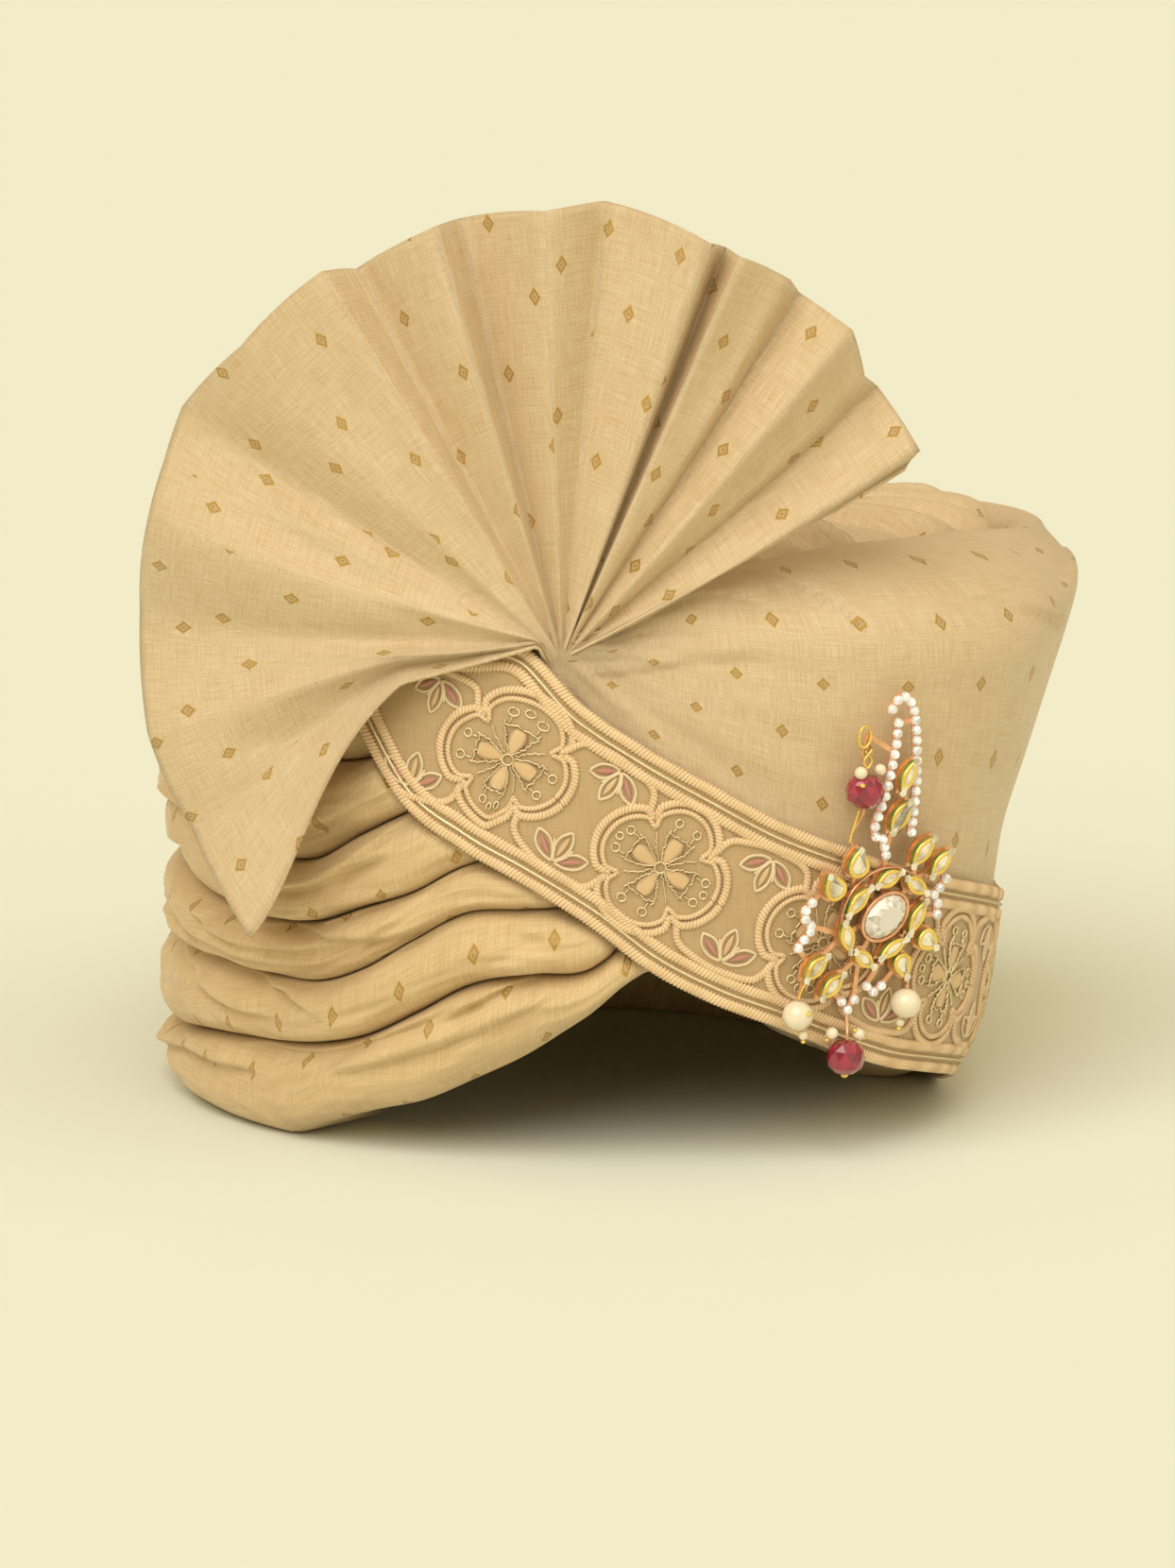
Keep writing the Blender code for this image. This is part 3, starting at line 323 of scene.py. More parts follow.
def metalMaterial(name, light, dark, roughness, metallic):
    paint, shader, links = newMaterial(name, light, roughness, metallic)
    tree = paint.node_tree
    wear = placeGroup(paint, wearGroupNode, objectNode(paint))
    share = mathNode(tree, "MULTIPLY_ADD", wear.outputs["Patch"], 1.6, -0.4, clamp=True)
    links.new(mixNode(tree, share, light, dark), shader.inputs["Base Color"])
    links.new(mathNode(tree, "MULTIPLY_ADD", wear.outputs["Grain"], 0.22, roughness - 0.1), shader.inputs["Roughness"])
    bumpNode(paint, shader, wear.outputs["Grain"], 0.25, 0.0001)
    return paint


def enamelMaterial(name):
    paint, shader, links = newMaterial(name, hard["enamel"], 0.14)
    tree = paint.node_tree
    wear = placeGroup(paint, wearGroupNode, objectNode(paint))
    patch = mathNode(tree, "MULTIPLY_ADD", wear.outputs["Patch"], 2.6, -1.15, clamp=True)
    links.new(mixNode(tree, patch, hard["enamel"], hard["enamelLight"]), shader.inputs["Base Color"])
    links.new(mathNode(tree, "MULTIPLY_ADD", wear.outputs["Grain"], 0.12, 0.08), shader.inputs["Roughness"])
    shader.inputs["Coat Weight"].default_value = 0.8
    return paint


def facetMaterial(name, dark, light, roughness, metallic=0.0, coat=1.0, paintedGlow=0.0):  # each facet keeps the painted reflection given to it, a mix from the dark to the light colour
    paint, shader, links = newMaterial(name, light, roughness, metallic)
    tree = paint.node_tree
    facetReflection = tree.nodes.new("ShaderNodeVertexColor")
    facetReflection.layer_name = "facet"
    wear = placeGroup(paint, wearGroupNode, objectNode(paint))
    share = mathNode(tree, "ADD", facetReflection.outputs["Color"], mathNode(tree, "MULTIPLY_ADD", wear.outputs["Grain"], 0.16, -0.08),
                     clamp=True)
    paintedFacetColor = mixNode(tree, share, dark, light)
    links.new(paintedFacetColor, shader.inputs["Base Color"])
    if paintedGlow:  # painted glow: the facet colour is emitted, standing in for light that comes back out of the cut stone
        links.new(paintedFacetColor, shader.inputs["Emission Color"])
        shader.inputs["Emission Strength"].default_value = paintedGlow
    links.new(mathNode(tree, "MULTIPLY_ADD", wear.outputs["Patch"], 0.08, roughness - 0.03), shader.inputs["Roughness"])
    shader.inputs["Coat Weight"].default_value = coat
    shader.inputs["Coat Roughness"].default_value = 0.03
    return paint


def stoneMaterial(name):  # a flat clear stone over foil, cloudy towards one side
    paint, shader, links = newMaterial(name, hard["stone"], 0.08)
    tree = paint.node_tree
    wear = placeGroup(paint, wearGroupNode, objectNode(paint))
    share = mathNode(tree, "MULTIPLY_ADD", wear.outputs["Patch"], 3.0, -1.25, clamp=True)
    links.new(mixNode(tree, share, hard["stone"], hard["stoneDeep"]), shader.inputs["Base Color"])
    links.new(mathNode(tree, "MULTIPLY_ADD", wear.outputs["Grain"], 0.08, 0.03), shader.inputs["Roughness"])
    shader.inputs["Coat Weight"].default_value = 1.0
    shader.inputs["Metallic"].default_value = 0.25
    return paint


def pearlMaterial(name):
    paint, shader, links = newMaterial(name, hard["pearl"], 0.22)
    tree = paint.node_tree
    wear = placeGroup(paint, wearGroupNode, objectNode(paint))
    links.new(mixNode(tree, wear.outputs["Patch"], hard["pearl"], hard["pearlDeep"]), shader.inputs["Base Color"])
    links.new(mathNode(tree, "MULTIPLY_ADD", wear.outputs["Grain"], 0.14, 0.14), shader.inputs["Roughness"])
    shader.inputs["Coat Weight"].default_value = 0.6
    shader.inputs["Coat Roughness"].default_value = 0.12
    shader.inputs["Subsurface Weight"].default_value = 0.15
    shader.inputs["Subsurface Radius"].default_value = (0.003, 0.002, 0.001)
    shader.inputs["Subsurface Scale"].default_value = 1.0
    return paint


# for the threads, each Deep colour is the dark end of the mix: painted shade in the strand grooves together with random
# fibre streaks; groundDeep is the organza's weave and slub colour
embroidery = {"ground": (0.60, 0.44, 0.23), "groundDeep": (0.42, 0.28, 0.12), "cord": (0.86, 0.64, 0.38),
              "cordDeep": (0.46, 0.27, 0.10), "pale": (0.93, 0.78, 0.52), "paleDeep": (0.55, 0.36, 0.16),
              "satin": (0.80, 0.58, 0.32), "satinDeep": (0.50, 0.31, 0.12), "pink": (0.62, 0.29, 0.22),
              "pinkDeep": (0.34, 0.12, 0.08), "zari": (1.0, 0.88, 0.60), "zariDeep": (0.55, 0.37, 0.14)}
hard = {"gold": (1.0, 0.76, 0.20), "goldDeep": (0.80, 0.52, 0.09), "rose": (0.95, 0.56, 0.33),
        "roseDeep": (0.68, 0.32, 0.15), "enamel": (0.01, 0.22, 0.05), "enamelLight": (0.55, 0.46, 0.12),
        "stone": (0.90, 0.84, 0.66), "stoneDeep": (0.42, 0.34, 0.20), "pearl": (0.86, 0.79, 0.62),
        "pearlDeep": (0.76, 0.66, 0.46)}


# small tools

def readRow(rows, place, column=1):  # a table read along a smooth curve
    if place <= rows[0][0]:
        return rows[0][column]
    if place >= rows[-1][0]:
        return rows[-1][column]
    index = 0
    while place > rows[index + 1][0]:
        index += 1
    startX, endX = rows[index][0], rows[index + 1][0]
    start, end = rows[index][column], rows[index + 1][column]
    span = endX - startX
    slopeIn = slopeOut = (end - start) / span
    if index > 0:
        slopeIn = (end - rows[index - 1][column]) / (endX - rows[index - 1][0])
    if index + 2 < len(rows):
        slopeOut = (rows[index + 2][column] - start) / (rows[index + 2][0] - startX)
    t = (place - startX) / span
    return ((2 * t ** 3 - 3 * t ** 2 + 1) * start + (t ** 3 - 2 * t ** 2 + t) * span * slopeIn
            + (3 * t ** 2 - 2 * t ** 3) * end + (t ** 3 - t ** 2) * span * slopeOut)


def ease(low, high, value):
    share = min(1.0, max(0.0, (value - low) / (high - low)))
    return share * share * (3 - 2 * share)


def wrapTurn(turn):
    return (turn + 180.0) % 360.0 - 180.0


def polar(turn, radius, height):
    angle = math.radians(turn)
    return Vector((radius * math.sin(angle) + camera["axis"][0], camera["axis"][1] - radius * math.cos(angle), height))


def clothGrid(across, along, place, uv):  # a flat grid whose points are moved to the cloth's shape
    bm = bmesh.new()
    bmesh.ops.create_grid(bm, x_segments=across, y_segments=along, size=0.5)
    layer = bm.loops.layers.uv.new("cloth")
    spots = {vertex: (vertex.co.x + 0.5, vertex.co.y + 0.5) for vertex in bm.verts}
    for face in bm.faces:
        middle = sum(spots[vertex][0] for vertex in face.verts) / len(face.verts)
        for loop in face.loops:
            loop[layer].uv = uv(*spots[loop.vert], middle)
    for vertex, (s, t) in spots.items():
        vertex.co = place(s, t)
    bmesh.ops.remove_doubles(bm, verts=bm.verts, dist=0.00001)
    return bm


def addPiece(name, bm, paints, nodes=(), outward=True, shade=True):
    if outward:
        bmesh.ops.recalc_face_normals(bm, faces=bm.faces)
    print("%s: %.4f square metres, %d faces" % (name, sum(face.calc_area() for face in bm.faces), len(bm.faces)))
    mesh = bpy.data.meshes.new(name)
    bm.to_mesh(mesh)
    bm.free()
    if shade:
        mesh.shade_smooth()
    for paint in paints:
        mesh.materials.append(paint)
    piece = bpy.data.objects.new(name, mesh)
    bpy.context.scene.collection.objects.link(piece)
    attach(piece, "root")
    if nodes:
        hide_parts(*nodes)
    return piece


def addWall(piece, thickness, offset=-1.0):
    wall = piece.modifiers.new("cloth wall", "SOLIDIFY")
    wall.thickness = thickness
    wall.offset = offset
    wall.use_even_offset = False


# the body that every cloth follows

body = {
    "leftHalfWidth": 0.135, "flareHalfWidth": 0.157, "frontDepth": 0.137, "wallHeight": 0.164, "crownHeight": 0.188,
    "headHalfWidth": 0.086, "headHalfDepth": 0.095, "clothRadius": 132.0,  # the last in millimetres
    # share of the wall height, share of the flare half width
    "side": ((0.0, 0.713), (0.15, 0.796), (0.36, 0.834), (0.50, 0.854), (0.64, 0.892), (0.82, 0.952),
             (0.91, 0.980), (1.0, 1.0)),
    "front": ((0.0, 0.93), (0.15, 0.964), (0.34, 0.995), (0.64, 1.007), (0.91, 1.0), (1.0, 0.985)),
    # turn, lower and upper edge of the band as shares of the wall height
    "band": ((-32, 0.86, 0.955), (-24, 0.69, 0.99), (-16, 0.61, 0.995), (-8, 0.548, 0.99), (0, 0.475, 0.88),
             (8, 0.385, 0.80), (16, 0.32, 0.73), (24, 0.27, 0.66), (32, 0.215, 0.605), (40, 0.167, 0.555),
             (48, 0.135, 0.515), (60, 0.09, 0.465), (72, 0.045, 0.42), (84, 0.006, 0.385), (96, 0.0, 0.365),
             (180, 0.0, 0.36)),
    # turn, top of the upright wall, crest height and crest radius as shares, how far the top is turned in
    "crest": ((-180, 0.80, 0.88, 0.885, 1.0), (-60, 0.82, 0.88, 0.885, 1.0), (-32, 0.84, 0.88, 0.86, 0.5),
              (-8, 0.835, 0.885, 0.83, 0.0), (3, 0.835, 0.885, 0.83, 0.0), (8, 0.835, 0.93, 0.79, 0.4),
              (16, 0.825, 0.96, 0.755, 1.0), (28, 0.81, 0.968, 0.715, 1.0), (48, 0.81, 0.975, 0.715, 1.0),
              (72, 0.845, 0.965, 0.79, 1.0), (88, 0.885, 0.945, 0.885, 1.0), (100, 0.875, 0.935, 0.935, 1.0),
              (114, 0.84, 0.93, 0.925, 1.0), (128, 0.825, 0.925, 0.87, 1.0), (150, 0.81, 0.905, 0.79, 1.0),
              (165, 0.80, 0.89, 0.79, 1.0), (180, 0.80, 0.88, 0.885, 1.0)),
}


def skinRadius(turn, height):
    share = height / body["wallHeight"]
    angle = math.radians(turn)
    across, along = abs(math.sin(angle)), abs(math.cos(angle))
    depth = body["frontDepth"] * readRow(body["front"], share)
    width, squareness = body["leftHalfWidth"], 2.0
    if math.sin(angle) > 0:
        width = body["flareHalfWidth"] * readRow(body["side"], share)
        squareness = 2.7 if math.cos(angle) > 0 else 2.25
    return ((across / width) ** squareness + (along / depth) ** squareness) ** (-1.0 / squareness)


def headRadius(turn):
    angle = math.radians(turn)
    return ((math.sin(angle) / body["headHalfWidth"]) ** 2 + (math.cos(angle) / body["headHalfDepth"]) ** 2) ** -0.5


def bandEdge(turn, upper):
    return body["wallHeight"] * readRow(body["band"], turn, 2 if upper else 1)


def arcLength(turn):  # millimetres along the body's middle
    return math.radians(turn) * body["clothRadius"]


# the wound rolls

rolls = {
    "bulge": 0.0095, "tuck": 0.0022, "columns": 330, "faceRows": 56,
    "spread": ((0.0, -180), (0.13, -106), (0.84, 14), (1.0, 180)),
    # turn, then the crease heights from the rim to the top as shares of the wall height
    "creases": (
        (-180, 0.0, 0.15, 0.30, 0.46, 0.62, 0.78, 0.93), (-135, 0.0, 0.15, 0.31, 0.47, 0.64, 0.81, 0.96),
        (-96, 0.0, 0.13, 0.30, 0.46, 0.67, 0.84, 0.99), (-80, 0.0, 0.13, 0.31, 0.45, 0.65, 0.84, 1.0),
        (-64, 0.0, 0.16, 0.31, 0.43, 0.59, 0.80, 1.0), (-48, 0.0, 0.18, 0.31, 0.42, 0.54, 0.75, 1.0),
        (-40, 0.04, 0.195, 0.315, 0.43, 0.55, 0.74, 1.0), (-32, 0.075, 0.225, 0.355, 0.47, 0.61, 0.75, 1.0),
        (-24, 0.105, 0.28, 0.42, 0.51, 0.665, 0.80, 1.0), (-16, 0.155, 0.34, 0.48, 0.57, 0.71, 0.84, 1.0),
        (-8, 0.21, 0.365, 0.49, 0.59, 0.73, 0.86, 1.0), (0, 0.285, 0.375, 0.50, 0.61, 0.74, 0.87, 1.0),
        (8, 0.37, 0.45, 0.55, 0.65, 0.77, 0.88, 1.0), (16, 0.335, 0.44, 0.55, 0.66, 0.78, 0.89, 1.0),
        (28, 0.26, 0.38, 0.51, 0.63, 0.75, 0.88, 1.0), (40, 0.18, 0.32, 0.455, 0.59, 0.73, 0.865, 1.0),
        (60, 0.10, 0.25, 0.40, 0.55, 0.70, 0.85, 1.0), (76, 0.045, 0.20, 0.36, 0.52, 0.68, 0.84, 1.0),
        (88, 0.0, 0.165, 0.33, 0.50, 0.665, 0.83, 1.0), (135, 0.0, 0.16, 0.32, 0.48, 0.65, 0.82, 0.98),
        (180, 0.0, 0.15, 0.30, 0.46, 0.62, 0.78, 0.93)),
    # folds laid over one another: step height, then turn and height in millimetres along the fold
    "folds": (
        (0.0024, (-48, 71), (-37.6, 70.8), (-33, 74.8), (-27, 80.5), (-22, 85.6), (-15.9, 92)),
        (0.0020, (-52, 66), (-45, 68.2), (-34.3, 67.5), (-27, 69), (-21.8, 73), (-17, 79)),
        (0.0021, (-80, 55), (-68.7, 50.1), (-57.5, 52), (-49.8, 48.9), (-43.4, 45.3), (-35, 40)),
        (0.0016, (-80, 49), (-72, 45), (-62, 41), (-53, 38), (-44, 37.5)),
        (0.0016, (-78, 63), (-70, 58), (-60, 56.5), (-50, 55), (-40, 57), (-33, 61)),
        (0.0018, (-96, 8), (-84, 13), (-72, 17), (-60, 18), (-48, 20)),
        (0.0013, (-106, 36), (-99, 24), (-92, 15), (-83, 9), (-72, 5)),
        (0.0016, (-62, 33), (-50, 28), (-38, 30), (-26, 40), (-14, 54)),
        (0.0015, (-70, 66), (-60, 62), (-50, 60), (-38, 63), (-28, 70)),
        (0.0016, (-40, 22), (-28, 30), (-16, 41), (-8, 50), (-2, 57)),
        (0.0022, (-20, 44), (-14, 52), (-9, 58), (-4, 62)),
        (0.0020, (-52, 79), (-44, 80), (-36, 85), (-29, 93), (-24, 97)),
        (0.0015, (-56, 96), (-46, 95), (-37, 101), (-30, 108)),
        (0.0017, (-110, 70), (-96, 73), (-82, 79), (-68, 84)), (0.0017, (-118, 92), (-98, 88), (-80, 95), (-60, 92)),
        (0.0016, (-120, 118), (-100, 124), (-78, 120), (-58, 127)), (0.0014, (110, 62), (140, 52), (176, 60)),
        (0.0015, (-176, 40), (-150, 33), (-122, 38)), (0.0014, (104, 15), (136, 20), (172, 14)),
        (0.0015, (112, 96), (142, 88), (172, 96)), (0.0015, (-174, 88), (-146, 96), (-116, 88)),
        (0.0015, (-172, 120), (-142, 112), (-118, 118)), (0.0013, (-168, 14), (-140, 18), (-110, 12))),
}


def creaseHeight(turn, level):
    return max(0.0, body["wallHeight"] * readRow(rolls["creases"], wrapTurn(turn), 1 + level))


def creaseDepth(turn, level):
    near = [creaseHeight(turn, step + 1) - creaseHeight(turn, step) for step in (level - 1, level) if 0 <= step < 6]
    return min([rolls["bulge"]] + [0.5 * roll for roll in near])


def pressDepth(turn, height):  # how far the band, the panel and the fan's root press the rolls in
    if not -34 < turn < 166:
        return 0.0
    ends = ease(-34, -29, turn)
    lower, upper = bandEdge(turn, False), bandEdge(turn, True)
    depth = 0.0036 * ease(lower - 0.006, lower + 0.001, height) * ends
    if turn > -9:
        depth = max(depth, 0.0066 * ease(upper - 0.014, upper - 0.009, height) * ease(-9, -7, turn))
    if -24 < turn < 16:
        depth += 0.0074 * math.sin(math.pi * (turn + 24) / 40) * ease(0.110, 0.128, height)
    return depth


def foldRelief(lines, turn, height, reach=0.0065):  # each fold stands over what lies under it
    relief = 0.0
    for step, *line in lines:
        if not line[0][0] < turn < line[-1][0]:
            continue
        away = height - readRow(line, turn) / 1000
        if abs(away) > 4 * reach:
            continue
        span = 0.22 * (line[-1][0] - line[0][0])
        fade = ease(line[0][0], line[0][0] + span, turn) * (1 - ease(line[-1][0] - span, line[-1][0], turn))
        relief += step * fade * (math.tanh(away / 0.0009) * math.exp(-abs(away) / reach)
                                 - 0.55 * math.exp(-(away / 0.0013) ** 2))
    return relief


def flowingFold(place, sharp=0.16):  # fold lines where a smooth field changes sign, one side laid over the other
    field = noise.noise(place)
    near = max(0.0, 1.0 - abs(field) / sharp)
    return math.tanh(field * 6.0) * math.exp(-abs(field) * 3.2) - 0.8 * near * near * (3 - 2 * near)


def rollPoint(level, s, t):
    turn = readLinear(rolls["spread"], s)
    low, high = creaseHeight(turn, level), creaseHeight(turn, level + 1) - 0.0003
    faceShare = rolls["faceRows"] / (rolls["faceRows"] + 6)
    if t >= faceShare:  # the inner wall, from the top back to the rim
        inward = (t - faceShare) / (1 - faceShare)
        top = skinRadius(turn, high) - pressDepth(turn, high) - creaseDepth(turn, level + 1) - rolls["tuck"]
        bottom = skinRadius(turn, low) - pressDepth(turn, low) - creaseDepth(turn, level) - rolls["tuck"]
        inner = headRadius(turn)
        if inward <= 0.34:
            return polar(turn, top + (inner - top) * inward / 0.34, high)
        if inward <= 0.67:
            return polar(turn, inner, high + (low - high) * (inward - 0.34) / 0.33)
        return polar(turn, inner + (bottom - inner) * (inward - 0.67) / 0.33, low)
    share = t / faceShare
    up = 0.5 - 0.5 * math.cos(math.pi * (0.25 * share + 0.75 * (0.5 - 0.5 * math.cos(math.pi * share))))
    height = low + (high - low) * up
    depth = creaseDepth(turn, level if up < 0.5 else level + 1) + rolls["tuck"]
    inset = 1.0 - (1.0 - abs(2 * up - 1) ** 2.6) ** 0.55
    radius = skinRadius(turn, height) - pressDepth(turn, height) - depth * inset
    covered = 1.0 - 0.8 * ease(-6, 10, turn) * (1 - ease(160, 172, turn))
    ends = ease(0.0, 0.08, up) * (1 - ease(0.92, 1.0, up))
    relief = 1.45 * foldRelief(rolls["folds"], turn, height)
    drift = up * 2.3 + turn / 40.0
    long_ = flowingFold(Vector((turn / 34.0 + up * 0.35, up * 1.25 - turn / 52.0, level * 3.7 + 0.4)))
    relief += 0.0017 * long_ * ease(0.004, 0.012, high - low)
    relief += 0.0009 * noise.noise(Vector((turn / 15.0, drift * 2.0, level * 5.3)))
    relief += 0.0006 * noise.noise(Vector((turn / 5.5, drift * 5.0, level * 9.1 + 4)))
    covered *= 1.0 - 0.75 * ease(-34, -29, turn) * ease(-0.006, 0.001, height - bandEdge(turn, False))
    return polar(turn, radius + relief * ends * covered * ease(0, 16, 180 - abs(turn)), height)


def readLinear(rows, place):
    for (startX, start), (endX, end) in zip(rows, rows[1:]):
        if place <= endX:
            return start + (end - start) * (place - startX) / (endX - startX)
    return rows[-1][1]


def rollUv(level, s, t):
    turn = readLinear(rolls["spread"], s)
    low, high = creaseHeight(turn, level), creaseHeight(turn, level + 1)
    return (arcLength(turn) + 9 * level, t * 52 * max(0.35, (high - low) / 0.03) + 13 * level - 0.10 * turn)


def makeRolls():
    for level in range(6):
        bm = clothGrid(rolls["columns"], rolls["faceRows"] + 6, lambda s, t: rollPoint(level, s, t),
                       lambda s, t, _middle: rollUv(level, s, t))
        roll = addPiece("woundRoll%d" % (level + 1), bm, [rollPaint], ["wrap_%d" % (level + 1)])
    print("rolls wound")


# the gathered crown

crown = {"columns": 330, "rows": 34, "gather": 0.0044, "pleats": 31, "lip": 0.0135, "wall": 0.0016,
         "section": ((0.0, 1.0, 0.0), (0.12, 1.0, 0.33), (0.28, 0.955, 0.64), (0.46, 0.83, 0.84), (0.66, 0.60, 0.95),
                     (0.84, 0.32, 0.99), (1.0, 0.0, 1.0))}


def crestRadius(turn):
    return body["flareHalfWidth"] * readRow(body["crest"], wrapTurn(turn), 3)


def crownPoint(s, t):
    turn = -180 + 360 * s
    base = creaseHeight(turn, 6) + 0.0004
    share, rise = readRow(crown["section"], t, 1), readRow(crown["section"], t, 2)
    height = base + (body["crownHeight"] - 0.0022 - base) * rise
    swirl = turn + 14 * t
    ripple = math.sin(math.radians(swirl * crown["pleats"]) + 2.2 * noise.noise(Vector((swirl / 9, t * 2, 3))))
    ripple = ripple * (0.65 + 0.8 * noise.noise(Vector((turn / 12, 5, 1))))
    fade = ease(0.0, 0.16, t) * (1 - ease(0.55, 1.0, t))
    height += crown["gather"] * ripple * fade + 0.0012 * noise.noise(Vector((turn / 20, t * 4, 8))) * fade
    return polar(turn, (crestRadius(turn) - crown["lip"]) * share, height)


def makeCrown():
    bm = clothGrid(crown["columns"], crown["rows"], crownPoint, lambda s, t, _middle: (s * 760, 105 * (1 - t) * 1.25))
    piece = addPiece("gatheredCrown", bm, [crownPaint], ["crown"])
    addWall(piece, crown["wall"])
    print("crown gathered")


# the front panel

panel = {"start": -8.6, "end": 164, "columns": 240, "rows": 56, "inset": 0.0031, "tuck": 0.010, "lipWidth": 0.012,
         "lipDrop": 0.007, "wall": 0.0014, "knotTurn": -6.0, "knotHeight": 0.166, "gather": 0.0015,
         # step height, then turn and height in millimetres along the fold
         "folds": ((0.0020, (-2, 164), (5.8, 168.6), (10.8, 173), (16.3, 176), (20.7, 174.5), (24.2, 170), (27.5, 163)),
                   (0.0018, (12, 178), (18, 181), (25, 180), (30, 176), (34.5, 166.8), (37.4, 157.5), (41, 145)),
                   (0.0012, (0, 160), (4.8, 163.5), (9.9, 166), (14.5, 165.5), (19, 167)),
                   (0.0010, (-2, 152), (6, 154), (14, 157), (24, 158)), (0.0010, (44, 172), (54, 168), (66, 158), (78, 150)),
                   (0.0012, (96, 150), (112, 158), (130, 150), (150, 156)), (0.0012, (90, 110), (110, 118), (136, 108)))}


def panelProfile(turn):
    bottom = bandEdge(turn, True) - panel["tuck"]
    wallTop = body["crownHeight"] * readRow(body["crest"], turn, 1)
    crest = body["crownHeight"] * readRow(body["crest"], turn, 2)
    radius = crestRadius(turn)
    points = []
    for share in (0.0, 0.17, 0.34, 0.52, 0.70, 0.86, 1.0):
        height = bottom + (wallTop - bottom) * share
        points.append((skinRadius(turn, height) - panel["inset"], height))
    shoulder = points[-1][0]
    turned = []
    for angle in (20, 42, 66, 90):
        bend = math.radians(angle)
        flat = 0.9 * ease(66, 82, turn) * (1 - ease(112, 128, turn))  # the turned edge is creased at the side
        outward = math.cos(bend) * (1 - flat) + (1 - angle / 90) * flat
        upward = math.sin(bend) * (1 - flat) + angle / 90 * flat
        turned.append((radius + (shoulder - radius) * outward, wallTop + (crest - wallTop) * upward))
    turned.append((radius - panel["lipWidth"] * 0.55, crest - panel["lipDrop"] * 0.22))
    turned.append((radius - panel["lipWidth"], crest - panel["lipDrop"]))
    share = min(1.0, max(0.0, readRow(body["crest"], turn, 4)))
    for step, (across, height) in enumerate(turned, start=1):
        upright = wallTop + (crest - wallTop) * step / len(turned)
        face = skinRadius(turn, upright) - panel["inset"]
        points.append((face + (across - face) * share, upright + (height - upright) * share))
    return [(float(index), *point) for index, point in enumerate(points)]


panelProfiles = {}


def panelPoint(s, t):
    turn = panel["start"] + (panel["end"] - panel["start"]) * (0.8 * s + 0.2 * s * s)
    if turn not in panelProfiles:
        panelProfiles[turn] = panelProfile(turn)
    rows = panelProfiles[turn]
    radius, height = readRow(rows, t * 12, 1), readRow(rows, t * 12, 2)
    along = (turn - panel["knotTurn"]) * 2.4  # millimetres from the knot
    rise = (height - panel["knotHeight"]) * 1000
    away = math.hypot(along, rise)
    angle = math.degrees(math.atan2(rise, along))
    wave = math.sin(math.radians(angle * 15) + 2.4 * noise.noise(Vector((angle / 14, away / 70, 2))))
    relief = panel["gather"] * wave * ease(4, 26, away) * math.exp(-max(0.0, away - 26) / 46)
    softWave = noise.noise(Vector((angle / 10, away / 110, 9)))
    relief += 0.0021 * softWave * ease(10, 60, away) * (1 - 0.55 * ease(120, 240, away))
    fold = flowingFold(Vector((angle / 11, away / 95, 5.5)))
    relief += 0.0008 * fold * ease(6, 22, away) * math.exp(-max(0.0, away - 40) / 42)
    relief += foldRelief(panel["folds"], turn, height, 0.0075)
    relief += 0.0016 * noise.noise(Vector((along / 34, rise / 60, 4))) * ease(60, 140, away)
    relief *= ease(0.0, 0.10, t) * (1 - 0.75 * ease(0.9, 1.0, t))
    return polar(turn, radius + min(relief, 0.0022), height)


def makePanel():
    bm = clothGrid(panel["columns"], panel["rows"], panelPoint,
                   lambda s, t, _middle: (arcLength(panel["start"] + (panel["end"] - panel["start"]) * (0.8 * s + 0.2 * s * s))
                                 + 4, t * 138 + 38 * (0.8 * s + 0.2 * s * s)))
    piece = addPiece("frontPanel", bm, [clothPaint], ["front_panel"])
    addWall(piece, panel["wall"])
    print("front panel laid")


# the pleated fan

fan = {
    "radius": 0.135, "depth": 0.0128, "root": (-0.006, -0.141, 0.16998), "bow": 0.165, "lean": 0.15,
    "drapeTurn": 28.0, "drapeStart": 186.0, "wall": 0.0011, "perFacet": 7, "rows": 60, "inner": 0.014,
    # turn in the fan's own plane, share of the radius, share of the depth
    "folds": ((22.7, 0.82, 0.3), (24.2, 0.866, 0.6), (35.0, 0.85, -0.8), (38.0, 0.845, -0.1), (44.9, 0.898, 0.8),
              (53.6, 0.875, -0.8), (56.2, 0.894, 0.0), (64.3, 0.892, 0.7), (66.4, 0.885, -0.6), (68.9, 0.896, 0.9),
              (84.4, 0.921, -0.5), (92.8, 0.910, 0.8), (105.2, 0.905, -0.7), (108.1, 0.919, 0.9),
              (121.4, 0.891, -0.3), (125.1, 0.937, 1.0), (141.1, 0.930, 0.6), (154.2, 0.962, -0.6),
              (161.5, 0.955, 0.0), (169.3, 0.958, 0.7), (183.5, 0.971, -0.6), (198.1, 0.994, 0.5),
              (211.6, 0.990, -0.4), (225.5, 1.009, 0.5)),
}


